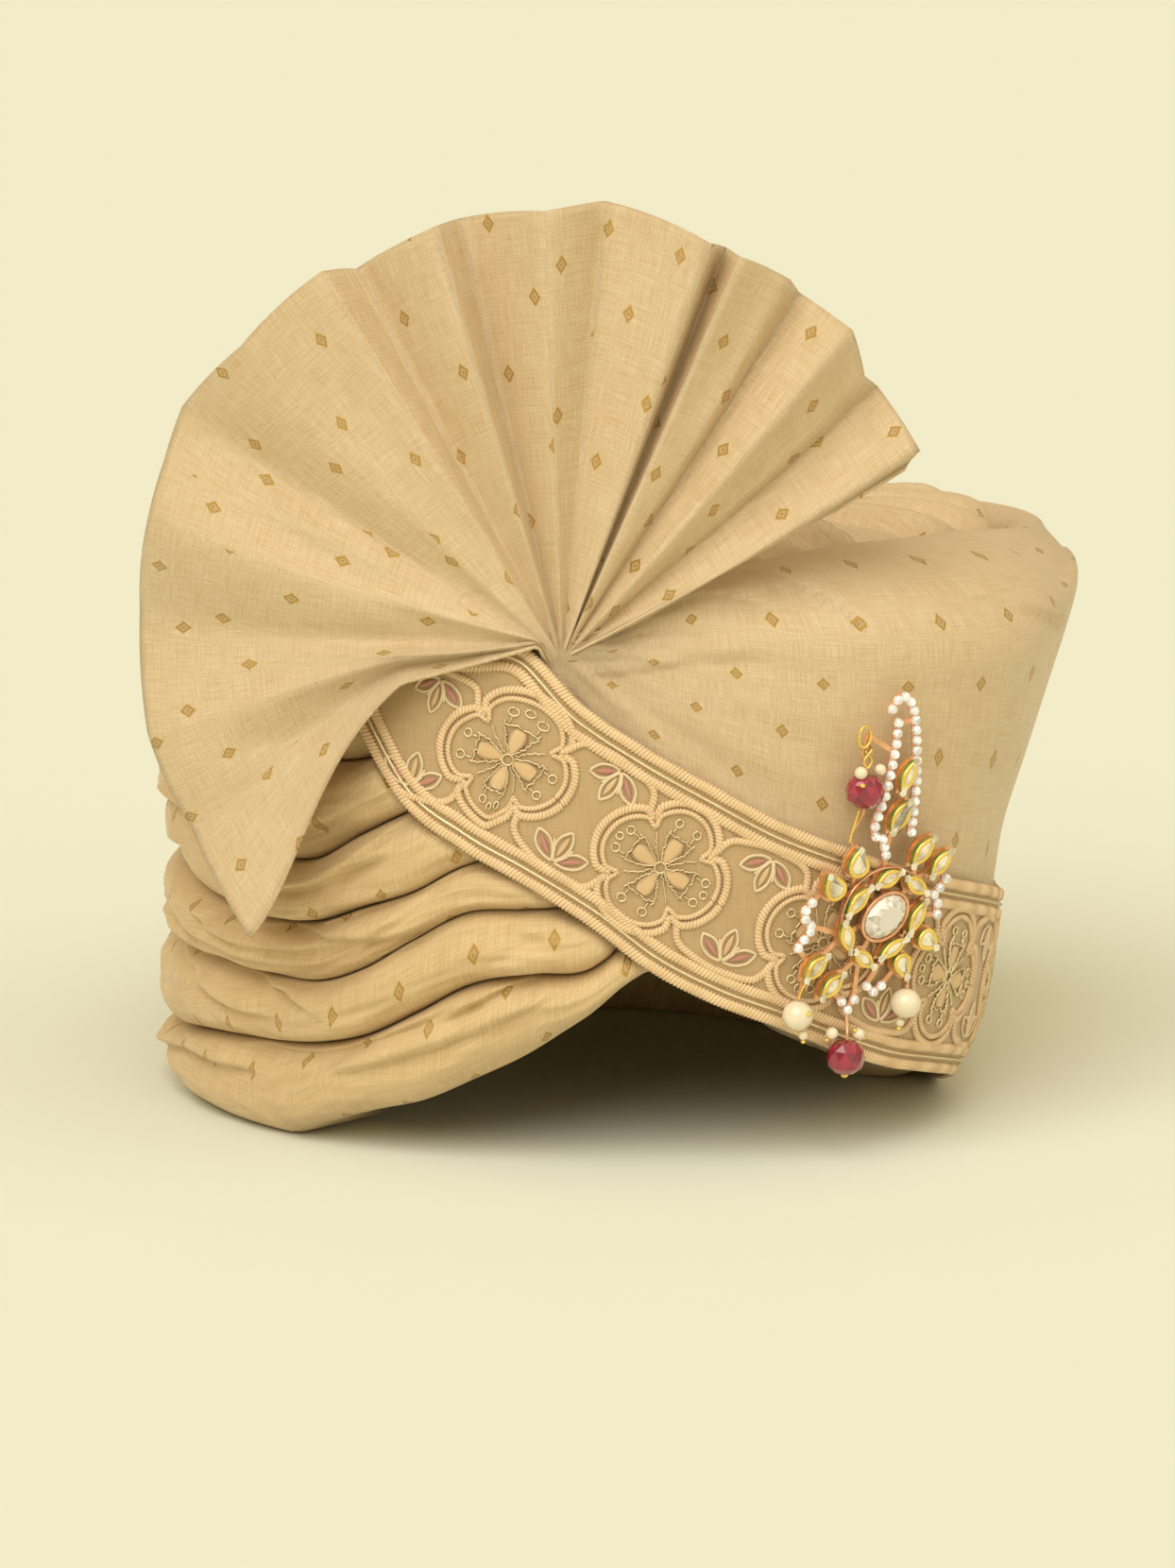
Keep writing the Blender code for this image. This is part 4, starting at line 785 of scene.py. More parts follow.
def fanPoint(s, t):
    place = s * (len(fan["folds"]) - 1)
    index = min(int(place), len(fan["folds"]) - 2)
    share = place - index
    soft = share * share * (3 - 2 * share)
    low, high = fan["folds"][index], fan["folds"][index + 1]
    foldTurn = low[0] + (high[0] - low[0]) * share
    reach = low[1] + (high[1] - low[1]) * share
    depth = low[2] + (high[2] - low[2]) * (0.85 * share + 0.15 * soft)
    out = fan["inner"] + (1 - fan["inner"]) * max(0.0, t * 1.06 - 0.06)
    drape = max(0.0, (foldTurn - fan["drapeStart"]) / (225.5 - fan["drapeStart"]))
    slack = min(1.0, ((1.0 - out) / 0.65) ** 1.7)
    angle = math.radians(foldTurn - fan["drapeTurn"] * drape * slack)
    radius = fan["radius"] * reach * out
    x = fan["root"][0] + radius * math.cos(angle)
    z = fan["root"][2] + radius * math.sin(angle)
    depth += 0.16 * math.sin(math.pi * share) * math.sin(2.2 * index + 5 * out)
    sag = 0.0016 * noise.noise(Vector((foldTurn / 16, out * 3.5, 6))) * ease(0.1, 0.5, out)
    sag -= 0.0015 * flowingFold(Vector((foldTurn / 17, out * 1.4, 2.2)), 0.2) * ease(135, 165, foldTurn) * ease(0.1, 0.3, out)
    y = (fan["root"][1] * math.sqrt(1.0 - (x / fan["bow"]) ** 2) + fan["lean"] * (z - fan["root"][2])
         - fan["depth"] * depth * out ** 0.72 + sag)
    upright = 1 - ease(125, 165, foldTurn)  # these pleats come out from behind the panel's edge
    tuck = Vector((-0.006 + 0.005 * upright, 0.003 + 0.006 * upright, -0.006 - 0.0063 * upright)) * (1 - out)
    spot = Vector((x + camera["axis"][0], y + camera["axis"][1], z)) + tuck
    if t < 0.0566:  # the pleats run together and turn back over the panel's crest
        back = 1.0 - t / 0.0566
        neck = Vector((-0.0066 + 0.006 * (0.5 - s) + camera["axis"][0], -0.1290 + camera["axis"][1], 0.1520))
        return spot.lerp(neck, back)
    return spot


def fanUv(s, t, middle):  # each pleat is a strip with its own middle line, so the motifs stay square to it
    count = len(fan["folds"]) - 1
    index = min(int(middle * count), count - 1)
    low, high = fan["folds"][index], fan["folds"][index + 1]
    offset = (s * count - index - 0.5) * (high[0] - low[0])
    return (math.radians(offset) * 132 * t + 11.3 * index + 3.0, t * 132 + 8.3 * index)


def makeFan():
    bm = clothGrid(fan["perFacet"] * (len(fan["folds"]) - 1), fan["rows"], fanPoint, fanUv)
    piece = addPiece("pleatedFan", bm, [clothPaint], ["fan"])
    addWall(piece, fan["wall"])
    print("fan pleated")


# the embroidered band

band = {"start": -32.0, "end": 164.0, "columns": 420, "rows": 22, "wall": 0.0013, "sunk": 0.0004,
        "medallionTurns": (-9.5, 9.4), "repeats": 8,
        # shares of a millimetre: half width, half height, spacing of the strands, plies, sides of the tube
        "edgeCord": (1.65, 0.72, 1.25, 2, 8), "zari": (0.52, 0.62, 0.9, 2, 5), "outerCord": (1.35, 0.70, 1.05, 2, 6),
        "innerCord": (0.82, 0.72, 1.0, 2, 6), "garland": (1.25, 0.68, 1.05, 2, 6), "outline": (0.48, 0.50, 0.8, 2, 4),
        "satin": (1.0, 0.55, 0.42, 0, 6), "wire": (0.26, 0.56, 0.6, 2, 4), "sequin": (0.36, 0.5, 0.7, 1, 4),
        "borders": (0.0017, 0.0079), "zariLine": 0.0048, "loose": 5}


def skinSpot(turn, height, lift=0.0):
    return polar(turn, skinRadius(turn, height) + lift, height)


def measureBand():  # the band's middle line: length so far, turn, height, slope, radius
    rows, length, last = [], 0.0, None
    for step in range(int((band["end"] - band["start"]) * 2) + 1):
        turn = band["start"] + step / 2
        height = (bandEdge(turn, False) + bandEdge(turn, True)) / 2
        radius = skinRadius(turn, height)
        if last:
            run = math.radians(0.5) * radius
            length += math.hypot(run, height - last[1])
            rows.append((length, turn - 0.25, (height + last[1]) / 2, math.atan2(height - last[1], run), radius))
        last = (turn, height)
    return rows


def bandSpot(along, across):  # turn and height of a place on the band, in metres along and across it
    last = len(bandRows) - 1
    low, high = 0, last
    while high - low > 1:
        middle = (low + high) // 2
        low, high = (middle, high) if bandRows[middle][0] < along else (low, middle)
    first, second = bandRows[low], bandRows[high]
    share = (along - first[0]) / (second[0] - first[0])
    turn, height, slope, radius = (first[k] + (second[k] - first[k]) * share for k in (1, 2, 3, 4))
    return turn - math.degrees(math.sin(slope) * across / radius), height + math.cos(slope) * across


def insideBand(turn, height, margin=0.0012):
    if not band["start"] + 0.8 < turn < band["end"] - 0.4:
        return False
    return bandEdge(turn, False) + margin < height < bandEdge(turn, True) - margin


def addThread(bm, line, size, swell=None, lift=0.0):  # a twisted thread sewn along places on the band
    halfWidth, halfHeight, pitch, plies, around = size
    runs, run = [], []
    for place in line:
        if insideBand(*place):
            run.append(place)
        else:
            runs.append(run)
            run = []
    for run in runs + [run]:
        if len(run) < 3:
            continue
        spots, normals, lengths = [], [], [0.0]
        for turn, height in run:
            spot = skinSpot(turn, height)
            normal = (skinSpot(turn + 0.4, height) - spot).cross(skinSpot(turn, height + 0.001) - spot).normalized()
            spots.append(spot + normal * lift)
            normals.append(normal)
        for first, second in zip(spots, spots[1:]):
            lengths.append(lengths[-1] + (second - first).length)
        count = max(3, int(lengths[-1] * 1000 / (pitch / (4 if plies else 3))))
        rings, index = [], 0
        for step in range(count + 1):
            reach = lengths[-1] * step / count
            while index < len(lengths) - 2 and lengths[index + 1] < reach:
                index += 1
            share = (reach - lengths[index]) / max(1e-9, lengths[index + 1] - lengths[index])
            rings.append((spots[index].lerp(spots[index + 1], share), normals[index], reach * 1000))
        layer = bm.loops.layers.uv.get("cloth") or bm.loops.layers.uv.new("cloth")
        made = bmesh.ops.create_grid(bm, x_segments=count, y_segments=around, size=0.5)["verts"]
        ends = ([], [])
        for vertex in made:
            s, t = vertex.co.x + 0.5, vertex.co.y + 0.5
            ring = min(count, max(0, round(s * count)))
            for loop in vertex.link_loops:
                loop[layer].uv = (rings[ring][2], t)
            spot, normal, reach = rings[ring]
            ahead = (rings[min(count, ring + 1)][0] - rings[max(0, ring - 1)][0]).normalized()
            side = ahead.cross(normal)
            turn = 2 * math.pi * t
            ridge = 1.0 + 0.20 * math.cos(plies * turn - 2 * math.pi * reach / pitch)
            grow = ridge * (swell(s) if swell else min(1.0, 0.5 + reach, 0.5 + lengths[-1] * 1000 - reach))
            vertex.co = spot + (side * math.cos(turn) * halfWidth + normal * math.sin(turn) * halfHeight
                                * min(1.0, 0.4 + grow)) * (grow * 0.001)
            if ring in (0, count):
                ends[ring > 0].append(vertex)
        bmesh.ops.remove_doubles(bm, verts=made, dist=0.000004)
        for end in ends:
            edges = {edge for vertex in end if vertex.is_valid for edge in vertex.link_edges if edge.is_boundary}
            bmesh.ops.holes_fill(bm, edges=list(edges), sides=0)


def borderLine(offset, upper):  # a line that keeps its distance from the band's edge
    line, turn = [], band["start"] + 0.9
    while turn < band["end"] - 0.5:
        rise = bandEdge(turn + 0.5, upper) - bandEdge(turn - 0.5, upper)
        edge = bandEdge(turn, upper)
        slope = math.atan2(rise, math.radians(1.0) * skinRadius(turn, edge))
        line.append((turn, edge + (-offset if upper else offset) / math.cos(slope)))
        turn += 0.4
    return line


def motifLine(centre, points, smooth=6, closed=False):  # millimetres round a motif's middle, along and across
    points = list(points)
    line = []
    count = len(points)
    for index in range(count if closed else count - 1):
        before, start = points[index - 1 if closed or index else 0], points[index]
        end = points[(index + 1) % count]
        after = points[(index + 2) % count if closed else min(count - 1, index + 2)]
        for step in range(smooth):
            u = step / smooth
            spot = [0.5 * (2 * b + (c - a) * u + (2 * a - 5 * b + 4 * c - d) * u * u + (3 * b - a - 3 * c + d) * u ** 3)
                    for a, b, c, d in zip(before, start, end, after)]
            line.append(bandSpot(centre + spot[0] / 1000, spot[1] / 1000))
    last = points[0] if closed else points[-1]
    line.append(bandSpot(centre + last[0] / 1000, last[1] / 1000))
    return line


def quatrefoil(lobe, notch, count=56):
    points = []
    for step in range(count):
        angle = 2 * math.pi * step / count
        radius = notch + (lobe - notch) * abs(math.cos(2 * angle)) ** 0.5
        turned = angle - math.radians(5)
        points.append((radius * math.cos(turned), radius * math.sin(turned)))
    return points


def turnedPoints(points, angle, shift=(0.0, 0.0), flip=1.0):
    c, s = math.cos(math.radians(angle)), math.sin(math.radians(angle))
    return [(shift[0] + x * c - y * s, flip * (shift[1] + x * s + y * c)) for x, y in points]


def leafLoop(length, breadth, start=0.6):
    return [(start, 0.0), (length * 0.35, breadth * 0.42), (length * 0.72, breadth * 0.5), (length, breadth * 0.12),
            (length, -breadth * 0.12), (length * 0.72, -breadth * 0.5), (length * 0.35, -breadth * 0.42), (start, 0.0)]


def leafSwell(s):
    return max(0.12, math.sin(math.pi * min(1.0, s * 0.94 + 0.03)) ** 0.75)


def fanSwell(s):
    return max(0.2, math.sin(math.pi * min(1.0, 0.14 + s * 0.72)) ** 0.8 * (0.45 + 0.62 * s))


def crinkled(points, size, seed, waves=3):  # a wire that wanders round its line
    line = []
    for (x0, y0), (x1, y1) in zip(points, points[1:]):
        steps = max(2, int(math.hypot(x1 - x0, y1 - y0) * waves / 1.6))
        for step in range(steps):
            u = step / steps
            wander = noise.noise_vector(Vector((x0 + u, y0 * 1.7 + u * 3, seed * 7.3 + len(line) * 0.9)))
            line.append((x0 + (x1 - x0) * u + wander.x * size, y0 + (y1 - y0) * u + wander.y * size))
    return line + [points[-1]]


def sewMedallion(cords, satins, wires, rings, centre, seed):
    addThread(cords, motifLine(centre, quatrefoil(21.6, 15.6), 3, True), band["outerCord"])
    addThread(cords, motifLine(centre, quatrefoil(18.9, 12.7), 3, True), band["innerCord"], lift=0.0001)
    for lobe in range(4):
        angle = 90 * lobe - 5
        petal = turnedPoints(((2.0, 0.0), (5.5, 0.0), (9.6, 0.0)), angle)
        halfWidth, halfHeight, pitch, plies, around = band["satin"]
        addThread(satins, motifLine(centre, petal), (3.7, halfHeight, pitch, plies, around), fanSwell)
        for side in (-1, 1):
            edge = crinkled(((1.6, 0.5 * side), (5.0, 2.6 * side), (9.4, 4.3 * side), (11.4, 4.6 * side)), 0.9, seed + lobe)
            addThread(wires, motifLine(centre, turnedPoints(edge, angle), 2), band["wire"], lift=0.00025)
            rim = crinkled(((9.8, 4.4 * side), (10.6, 2.0 * side), (10.2, 0.2 * side)), 0.9, seed + lobe + 9)
            addThread(wires, motifLine(centre, turnedPoints(rim, angle), 2), band["wire"], lift=0.00025)
            stalk = ((10.6, 3.4 * side), (12.8, 3.4 * side))
            addThread(wires, motifLine(centre, turnedPoints(stalk, angle), 4), band["wire"])
            ring = [(14.2 + 1.25 * math.cos(step * math.pi / 6), 3.5 * side + 1.25 * math.sin(step * math.pi / 6))
                    for step in range(12)]
            addThread(rings, motifLine(centre, turnedPoints(ring, angle), 2, True), band["sequin"])
        ring = [(15.6 + 1.1 * math.cos(step * math.pi / 6), 1.1 * math.sin(step * math.pi / 6)) for step in range(12)]
        if (lobe + seed) % 2:
            addThread(rings, motifLine(centre, turnedPoints(ring, angle), 2, True), band["sequin"])
        spoke = crinkled(((1.8, 0.0), (6.0, 0.4), (11.2, -0.2)), 0.7, seed + lobe + 21)
        addThread(wires, motifLine(centre, turnedPoints(spoke, angle + 45), 2), band["wire"])
    ring = [(1.7 * math.cos(step * math.pi / 7), 1.7 * math.sin(step * math.pi / 7)) for step in range(14)]
    addThread(rings, motifLine(centre, ring, 2, True), band["sequin"], lift=0.0002)


def sewSpray(cords, satins, pinks, wires, middle, pitch, flip, seed):  # three petals under an arching garland
    half = pitch / 2
    arch = [(-half + 12.4, 11.6), (-half + 15.2, 17.0), (-6.5, 19.4), (2.0, 20.2), (half - 15.6, 18.4),
            (half - 12.2, 11.8)]
    addThread(cords, motifLine(middle, [(x, flip * y) for x, y in arch]), band["garland"])
    base = (1.5, 17.6)
    for number, (angle, length, breadth) in enumerate(((-92, 10.6, 4.2), (-146, 10.0, 4.3), (-38, 10.4, 4.3))):
        loop = turnedPoints(leafLoop(length, breadth), angle, base, flip)
        addThread(wires, motifLine(middle, loop, 5), band["outline"])
        core = turnedPoints(((2.6, 0.0), (length * 0.55, 0.0), (length - 1.4, 0.0)), angle, base, flip)
        halfWidth, halfHeight, spacing, plies, around = band["satin"]
        addThread(pinks if number else satins, motifLine(middle, core), (0.95, halfHeight * 0.8, spacing, plies, around),
                  leafSwell)
    for angle in (-118, -66, -124, -60):
        stitch = turnedPoints(((1.2, 0.0), (4.0, 0.2), (7.4 if angle in (-118, -66) else 5.2, 0.0)), angle, base, flip)
        addThread(wires, motifLine(middle, stitch, 3), band["outline"])


def makeBand():
    bm = clothGrid(band["columns"], band["rows"], bandGround, bandUv)
    ground = addPiece("embroideredBand", bm, [organzaPaint], ["border_band"])
    addWall(ground, band["wall"])
    start = {turn: min(bandRows, key=lambda row: abs(row[1] - turn))[0] for turn in band["medallionTurns"]}
    first, second = (start[turn] for turn in band["medallionTurns"])
    pitch = (second - first) * 1000
    print("medallions every %.1f mm" % pitch)
    borderCords, zaris, cords, garlands = bmesh.new(), bmesh.new(), bmesh.new(), bmesh.new()
    satins, pinks, wires, outlines, rings = (bmesh.new() for _part in range(5))
    for upper in (False, True):
        for offset in band["borders"]:
            addThread(borderCords, borderLine(offset, upper), band["edgeCord"])
        addThread(zaris, borderLine(band["zariLine"], upper), band["zari"])
    for number in range(-1, band["repeats"] + 1):
        centre = first + number * (second - first)
        if number >= 0:
            sewMedallion(cords, satins, wires, rings, centre, number)
        middle = centre + (second - first) / 2
        for flip in (1, -1):
            sewSpray(garlands, satins, pinks, outlines, middle, pitch, flip, number)
    made = [addPiece(name, made, [paint]) for name, made, paint in (
        ("bandBorderCords", borderCords, cordPaint), ("bandZariLines", zaris, zariPaint),
        ("bandMedallionCords", cords, cordPaint), ("bandGarlands", garlands, cordPaint),
        ("bandSatinPetals", satins, satinPaint), ("bandPinkPetals", pinks, pinkPaint),
        ("bandWireStitches", wires, zariPaint), ("bandPetalOutlines", outlines, palePaint),
        ("bandSequins", rings, zariPaint))]
    print("band sewn")


def bandGround(s, t):
    turn = band["start"] + (band["end"] - band["start"]) * s
    low, high = bandEdge(turn, False), bandEdge(turn, True)
    height = low + (high - low) * t
    return polar(turn, skinRadius(turn, height) - band["sunk"], height)


def bandUv(s, t, _middle):
    turn = band["start"] + (band["end"] - band["start"]) * s
    low, high = bandEdge(turn, False), bandEdge(turn, True)
    return (arcLength(turn), (low + (high - low) * t) * 1000)


# the brooch

brooch = {
    "rows": ((0.83389, 0.05482, 0.54921, 0.0893), (0.55194, -0.08282, -0.82976, -0.11905),
             (0.0, 0.99506, -0.09932, 0.07698)),
    "seat": 0.0015, "crystalPitch": 3.3, "crystalRadius": 1.55,
    # grid steps across and up, length and breadth, lean in degrees, pointed ends
    "kundans": (
        (-10.8, 6.2, 12.0, 5.2, 46, 2), (0.0, 12.2, 10.4, 5.4, 21, 2), (10.4, 8.9, 10.6, 5.4, -36, 2),
        (11.6, -1.4, 12.0, 4.8, 61, 2), (3.2, -10.2, 11.6, 4.8, 30, 2), (-7.6, -12.2, 10.2, 5.2, -38, 2),
        (-14.2, -4.6, 10.8, 5.4, -74, 2), (-11.6, 18.4, 9.4, 8.0, 90, 1), (-20.2, 12.0, 9.4, 8.0, 122, 1),
        (16.4, -9.4, 8.4, 7.4, -40, 1), (7.4, -16.4, 8.8, 6.8, -68, 1), (-25.0, -13.0, 11.0, 5.6, 43, 2),
        (-18.6, -19.6, 11.0, 5.6, 43, 2), (12.2, 19.4, 12.0, 5.6, 48, 2), (19.2, 14.8, 11.0, 5.4, 48, 2),
        (4.7, 43.8, 11.4, 4.8, 66, 2), (2.8, 31.4, 12.0, 6.2, 57, 2)),
    "chains": (
        ((-1.6, 65.0), (0.8, 68.6), (4.2, 68.4), (7.2, 62.5), (8.2, 55.5), (9.4, 41.5), (8.6, 25.4)),
        ((1.0, 60.5), (0.9, 54.5), (0.0, 48.0), (-1.6, 38.9), (-5.2, 29.0), (-4.6, 25.4)), ((-2.0, 24.4), (-0.3, 19.2)),
        ((-26.6, 7.1), (-29.5, 4.4), (-28.3, 1.2), (-25.5, -0.6), (-28.0, -3.4), (-30.8, -6.6)),
        ((23.0, 9.0), (21.2, 6.6), (18.4, 5.0), (20.4, 1.8), (20.4, -2.0)),
        ((-13.4, -25.6), (-10.9, -28.6), (-8.6, -25.6)), ((-4.4, -21.8), (-1.4, -24.2), (1.2, -22.4))),
    "centre": (16.0, 12.0, 32),
    # bead: across, up, how far out from the plate's back, in millimetres
    "rubies": {"ruby_bead_top": (-9.8, 40.4, 1.38), "ruby_bead_bottom": (-13.0, -42.2, 4.848)},
    "pearls": {"pearl_left": (-29.4, -28.0, 1.462), "pearl_right": (9.0, -28.2, 3.92)},
    "rubyRadius": 6.0, "rubyHeight": 10.5, "pearlRadius": 4.7,
}


def broochPlace():
    rows = [list(row) for row in brooch["rows"]]
    rows[0][3] += camera["axis"][0]
    rows[1][3] += camera["axis"][1]
    return Matrix(rows + [[0, 0, 0, 1]])


def leafOutline(angle, length, breadth, points):
    x = math.cos(angle)
    if points == 2:
        y = math.copysign((1 - abs(x) ** 1.75) ** 0.92, math.sin(angle)) if abs(x) < 1 else 0.0
    else:
        y = math.sin(angle) * abs(math.sin(angle / 2)) ** 0.8 * 1.18
    return Vector((x * length / 2, y * breadth / 2, 0.0))


def makeKundan(index, row):
    across, up, length, breadth, lean, points = row
    bm = bmesh.new()
    disc = bmesh.ops.create_circle(bm, segments=28, radius=1.0, cap_ends=True)["verts"]
    for vertex in disc:
        vertex.co = leafOutline(math.atan2(vertex.co.y, vertex.co.x), length * 0.9, breadth * 0.9, points)
    face = disc[0].link_faces[0]
    if face.normal.z < 0:
        bmesh.ops.reverse_faces(bm, faces=[face])
    for rise, grow in ((0.5, 1.02), (1.0, 1.06), (0.25, 1.0), (0.6, 1.02)):  # base, enamel wall, ledge, gold lip
        made = bmesh.ops.extrude_face_region(bm, geom=[face])["geom"]
        old, face = face, [part for part in made if isinstance(part, bmesh.types.BMFace)][0]
        if old.is_valid:
            bmesh.ops.delete(bm, geom=[old], context="FACES_ONLY")
        for vertex in face.verts:
            vertex.co = Vector((vertex.co.x * grow, vertex.co.y * grow, vertex.co.z + rise))
    bmesh.ops.inset_region(bm, faces=[face], thickness=0.40, depth=0.24)  # rounded gold rim
    bmesh.ops.inset_region(bm, faces=[face], thickness=0.55, depth=0.02)
    bmesh.ops.inset_region(bm, faces=[face], thickness=0.24, depth=-0.34)
    girdle = bmesh.ops.inset_region(bm, faces=[face], thickness=0.06, depth=0.05)["faces"]
    crownFaces = bmesh.ops.inset_region(bm, faces=[face], thickness=0.42, depth=0.34)["faces"]
    stone = set(crownFaces) | {face} | set(girdle)
    bmesh.ops.holes_fill(bm, edges=[edge for edge in bm.edges if edge.is_boundary], sides=0)
    bmesh.ops.recalc_face_normals(bm, faces=bm.faces)
    for part in bm.faces:
        middle = part.calc_center_median()
        part.smooth = part not in stone
        if part in stone:
            part.material_index = 2
        elif 0.45 < middle.z < 1.75 and abs(part.normal.z) < 0.75:
            part.material_index = 1  # enamelled wall
    bm.transform(Matrix.Scale(0.001, 4))
    spin = Matrix.Rotation(math.radians(lean), 4, "Z")
    bm.transform(broochPlace() @ Matrix.Translation((across / 1000, up / 1000, brooch["seat"])) @ spin)
    name = "kundanSetting%02d" % index
    piece = addPiece(name, bm, [goldPaint, enamelPaint, stonePaint], ["kundan_%02d" % index], shade=False)
    return piece


def cutStone(bm, radiusX, radiusY, height, sides, place):  # girdle, kite and star facets, table
    made = bmesh.ops.create_circle(bm, segments=sides, radius=1.0, cap_ends=True)["verts"]
    face = made[0].link_faces[0]
    if face.normal.z < 0:
        bmesh.ops.reverse_faces(bm, faces=[face])
    first = set(face.verts)
    levels = ((1.0, 0.32, 0.0), (0.80, 0.36, 0.5), (0.56, 0.24, 0.0))
    rings = list(first)
    for shrink, rise, twist in levels:
        made = bmesh.ops.extrude_face_region(bm, geom=[face])["geom"]
        old, face = face, [part for part in made if isinstance(part, bmesh.types.BMFace)][0]
        if old.is_valid:
            bmesh.ops.delete(bm, geom=[old], context="FACES_ONLY")
        ring = list(face.verts)
        now = math.hypot(ring[0].co.x, ring[0].co.y)
        spin = Matrix.Rotation(twist * 2 * math.pi / sides, 3, "Z")
        for vertex in ring:
            flat = spin @ Vector((vertex.co.x, vertex.co.y, 0)) * (shrink / now)
            vertex.co = Vector((flat.x, flat.y, vertex.co.z + rise))
        rings += ring
    for vertex in set(rings):
        vertex.co = place @ Vector((vertex.co.x * radiusX, vertex.co.y * radiusY, vertex.co.z * height))
    return set(rings)


def paintFacetReflections(bm, seed, low=0.0, high=1.0):  # each facet gets its own painted reflection, a brightness from its place and the way it faces
    layer = bm.loops.layers.float_color.new("facet")
    for face in bm.faces:
        middle = face.calc_center_median() * 1000
        facetReflection = 0.5 + 0.62 * noise.noise(middle * 0.83 + face.normal * 2.9 + Vector((seed, seed * 3.1, 0.7)))
        facetReflection = min(high, max(low, facetReflection))
        for loop in face.loops:
            loop[layer] = (facetReflection, facetReflection, facetReflection, 1.0)


def makeStones():
    across, up, lean = brooch["centre"]
    bm = bmesh.new()
    turn = Matrix.Rotation(math.radians(lean), 4, "Z")
    cutStone(bm, across / 2, up / 2, 4.4, 16, turn)
    bmesh.ops.triangulate(bm, faces=[face for face in bm.faces if len(face.verts) == 4])
    bmesh.ops.holes_fill(bm, edges=[edge for edge in bm.edges if edge.is_boundary], sides=0)
    bm.transform(broochPlace() @ Matrix.Translation((0, 0, brooch["seat"])) @ Matrix.Scale(0.001, 4))
    paintFacetReflections(bm, 4.0)
    addPiece("centreStone", bm, [bigStonePaint], ["centre_stone"], shade=False)
    bm = bmesh.new()
    settings = bmesh.new()
    for chain in brooch["chains"]:
        for spot in chainSpots(chain, brooch["crystalPitch"]):
            place = Matrix.Translation((spot[0], spot[1], 1.0))
            cutStone(bm, brooch["crystalRadius"], brooch["crystalRadius"], 1.9, 8, place)
            cup = bmesh.ops.create_cone(settings, cap_ends=True, segments=10, radius1=1.2, radius2=1.55, depth=1.1)
            bmesh.ops.transform(settings, matrix=Matrix.Translation((spot[0], spot[1], 1.1)), verts=cup["verts"])
    bmesh.ops.triangulate(bm, faces=[face for face in bm.faces if len(face.verts) == 4])
    bmesh.ops.holes_fill(bm, edges=[edge for edge in bm.edges if edge.is_boundary], sides=0)
    for part in (bm, settings):
        part.transform(broochPlace() @ Matrix.Scale(0.001, 4))
    paintFacetReflections(bm, 9.0, 0.18)
    addPiece("crystals", bm, [crystalPaint], shade=False)
    addPiece("crystalCups", settings, [rosePaint], shade=False)


def chainSpots(chain, pitch):
    points = [Vector(point) for point in chain]
    lengths = [(after - before).length for before, after in zip(points, points[1:])]
    count = max(2, round(sum(lengths) / pitch) + 1)
    for step in range(count):
        run = sum(lengths) * step / (count - 1)
        for before, after, length in zip(points, points[1:], lengths):
            if run <= length + 1e-9:
                yield before + (after - before) * (run / length)
                break
            run -= length


def addBall(bm, place, radius, squash=1.0):
    ball = bmesh.ops.create_uvsphere(bm, u_segments=24, v_segments=14, radius=radius)["verts"]
    bmesh.ops.transform(bm, matrix=Matrix.Translation(place) @ Matrix.Scale(squash, 4, (0, 1, 0)), verts=ball)


def addRod(bm, points, radius, sides=8, turn=0):  # a bent wire
    lean = Matrix.Rotation(math.radians(turn), 3, "Z")
    points = [lean @ Vector(point) for point in points]
    made = bmesh.ops.create_grid(bm, x_segments=len(points) - 1, y_segments=sides, size=0.5)["verts"]
    for vertex in made:
        ring = round((vertex.co.x + 0.5) * (len(points) - 1))
        ahead = (points[min(len(points) - 1, ring + 1)] - points[max(0, ring - 1)]).normalized()
        side = ahead.cross(Vector((0.02, 0.03, 1.0))).normalized()
        angle = 2 * math.pi * (vertex.co.y + 0.5)
        vertex.co = points[ring] + (side * math.cos(angle) + side.cross(ahead) * math.sin(angle)) * radius
    bmesh.ops.remove_doubles(bm, verts=made, dist=0.004)


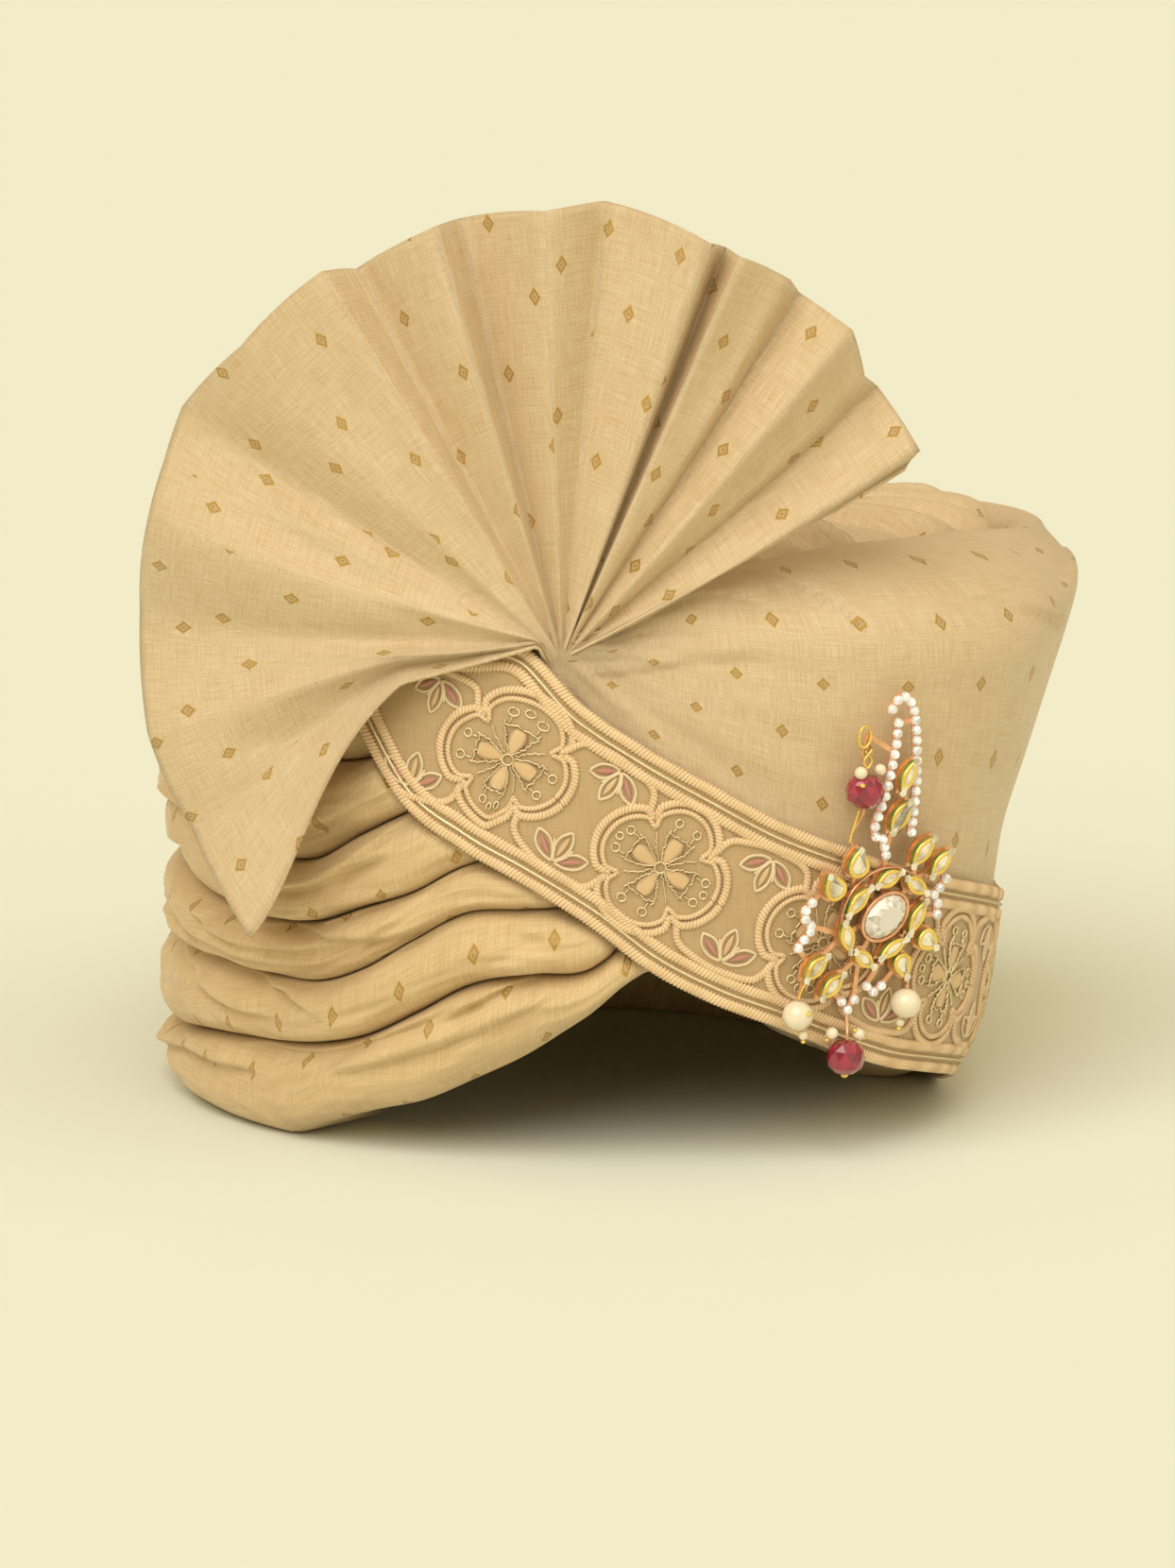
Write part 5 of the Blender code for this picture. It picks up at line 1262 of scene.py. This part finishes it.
def makeBeads():
    for name, (across, up, out) in brooch["rubies"].items():
        bm = bmesh.new()
        made = bmesh.ops.create_uvsphere(bm, u_segments=10, v_segments=6, radius=1.0)["verts"]
        for vertex in made:
            level = round(math.degrees(math.asin(max(-1.0, min(1.0, vertex.co.z)))) / 30)
            ring = {0: (1.0, 0.0), 1: (0.90, 0.52), 2: (0.55, 0.90), 3: (0.0, 0.97)}[abs(level)]
            twist = math.pi / 10 * (level % 2)
            angle = math.atan2(vertex.co.y, vertex.co.x) + twist
            height = math.copysign(ring[1], level) * brooch["rubyHeight"] / 2
            vertex.co = Vector((math.cos(angle) * ring[0] * brooch["rubyRadius"], height,
                                math.sin(angle) * ring[0] * brooch["rubyRadius"]))
        bmesh.ops.triangulate(bm, faces=bm.faces)
        bmesh.ops.transform(bm, matrix=Matrix.Rotation(0.3, 4, "Y"), verts=bm.verts)
        bm.transform(broochPlace() @ Matrix.Scale(0.001, 4) @ Matrix.Translation((across, up, out)))
        paintFacetReflections(bm, 2.0)
        addPiece("rubyBead" + name.split("_")[2].capitalize(), bm, [rubyPaint], [name], shade=False)
    for name, (across, up, out) in brooch["pearls"].items():
        bm = bmesh.new()
        addBall(bm, (across, up, out), brooch["pearlRadius"], 0.98)
        bm.transform(broochPlace() @ Matrix.Scale(0.001, 4))
        addPiece("pearl" + name.split("_")[1].capitalize(), bm, [pearlPaint], [name])
    seeds, balls, rims = bmesh.new(), bmesh.new(), bmesh.new()
    for across, up, out, radius in ((-12.6, 46.6, 2.6, 2.0), (-5.4, 46.8, 2.4, 1.8), (-17.6, -34.6, 3.4, 1.9),
                                    (-8.2, -35.9, 4.2, 1.9), (-27.6, -34.2, 2.4, 1.5), (7.8, -34.4, 3.4, 1.3)):
        addBall(seeds, (across, up, out), radius)
    for across, up, out, radius in ((-13.9, 43.6, 5.6, 0.85), (-27.6, -36.2, 2.6, 0.8), (7.4, -36.2, 3.4, 0.8),
                                    (-19.6, -36.4, 3.6, 0.7), (-6.4, -37.2, 4.4, 0.7), (-28.6, -26.4, 5.9, 0.9),
                                    (-13.0, -47.9, 4.85, 1.2), (-9.8, -34.4, 4.4, 0.8)):
        addBall(balls, (across, up, out), radius, 0.8)
    loop = [(-11.2 + 2.2 * math.cos(step * math.pi / 8), 57.4 + 3.4 * math.sin(step * math.pi / 8), 1.4)
            for step in range(17)]
    addRod(balls, loop, 0.42)
    for side in (-1, 1):
        hook = [(-9.8 + side * 1.5 * math.sin(step * math.pi / 6), 47.4 + step * 0.75, 1.8) for step in range(9)]
        addRod(balls, hook, 0.34)
    addRod(rims, [(8.8 * math.cos(step * math.pi / 20), 6.8 * math.sin(step * math.pi / 20), 2.6)
                  for step in range(41)], 0.62, turn=32)
    addRod(rims, [(15.6 * math.cos(math.radians(40 + step * 6)), 15.2 * math.sin(math.radians(40 + step * 6)), 1.9)
                  for step in range(40)], 0.45)
    addRod(balls, [(-11.7, 34.6, 1.6), (-12.4, 31.4, 1.3), (-13.4, 27.4, 1.0), (-13.9, 24.6, 0.8)], 0.38)
    addRod(balls, [(-29.8, -22.6, 2.0), (-29.6, -20.6, 2.3), (-27.8, -17.6, 2.4)], 0.34)
    for part in (seeds, balls, rims):
        part.transform(broochPlace() @ Matrix.Scale(0.001, 4))
    addPiece("seedPearls", seeds, [pearlPaint])
    addPiece("goldBallsAndLoops", balls, [goldPaint])
    addPiece("roseRims", rims, [rosePaint])


def makeBrooch():
    for index, row in enumerate(brooch["kundans"], start=1):
        makeKundan(index, row)
    makeStones()
    makeBeads()
    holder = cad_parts["brooch_frame"]
    for slot in holder.material_slots:
        slot.material = rosePaint
    print("brooch set")


weaveGroupNode = weaveGroup()
butiGroupNode = butiGroup()
clothPaint = silkMaterial("cream silk")
# painted light: the crown's silk is a brighter copy, standing in for light falling from above
crownPaint = silkMaterial("crown silk painted lighter", (1.12, 1.12, 1.12))
# painted shade: the rolls' silk is a warmer, darker copy, standing in for light bounced between their folds
rollPaint = silkMaterial("wound silk painted shade", (1.02, 0.97, 0.86))
strandGroupNode = strandGroup()
wearGroupNode = wearGroup()
organzaPaint = organzaMaterial("band organza")
cordPaint = threadMaterial("cord thread", embroidery["cord"], embroidery["cordDeep"], 1.15, 2)
palePaint = threadMaterial("pale thread", embroidery["pale"], embroidery["paleDeep"], 0.8, 2)
satinPaint = threadMaterial("satin stitch", embroidery["satin"], embroidery["satinDeep"], 0.42, 0, 0.38)
pinkPaint = threadMaterial("pink satin stitch", embroidery["pink"], embroidery["pinkDeep"], 0.42, 0, 0.42)
zariPaint = threadMaterial("metal thread", embroidery["zari"], embroidery["zariDeep"], 0.7, 2, 0.28, 0.55)
goldPaint = metalMaterial("kundan gold", hard["gold"], hard["goldDeep"], 0.26, 0.72)
rosePaint = metalMaterial("rose gold", hard["rose"], hard["roseDeep"], 0.28, 0.75)
enamelPaint = enamelMaterial("green enamel")
stonePaint = stoneMaterial("flat stone")
# the stones and the ruby glass mix a dark and a light colour facet by facet: painted reflections
bigStonePaint = facetMaterial("centre stone", (0.16, 0.13, 0.085), (1.0, 0.95, 0.82), 0.05, 0.0, paintedGlow=0.18)
crystalPaint = facetMaterial("crystal", (0.34, 0.31, 0.26), (1.0, 0.99, 0.96), 0.05, 0.0, paintedGlow=0.35)
rubyPaint = facetMaterial("ruby glass", (0.13, 0.001, 0.012), (0.43, 0.012, 0.06), 0.10)
pearlPaint = pearlMaterial("pearl")
setStage()
makeRolls()
makeCrown()
makePanel()
makeFan()
bandRows = measureBand()
makeBand()
makeBrooch()
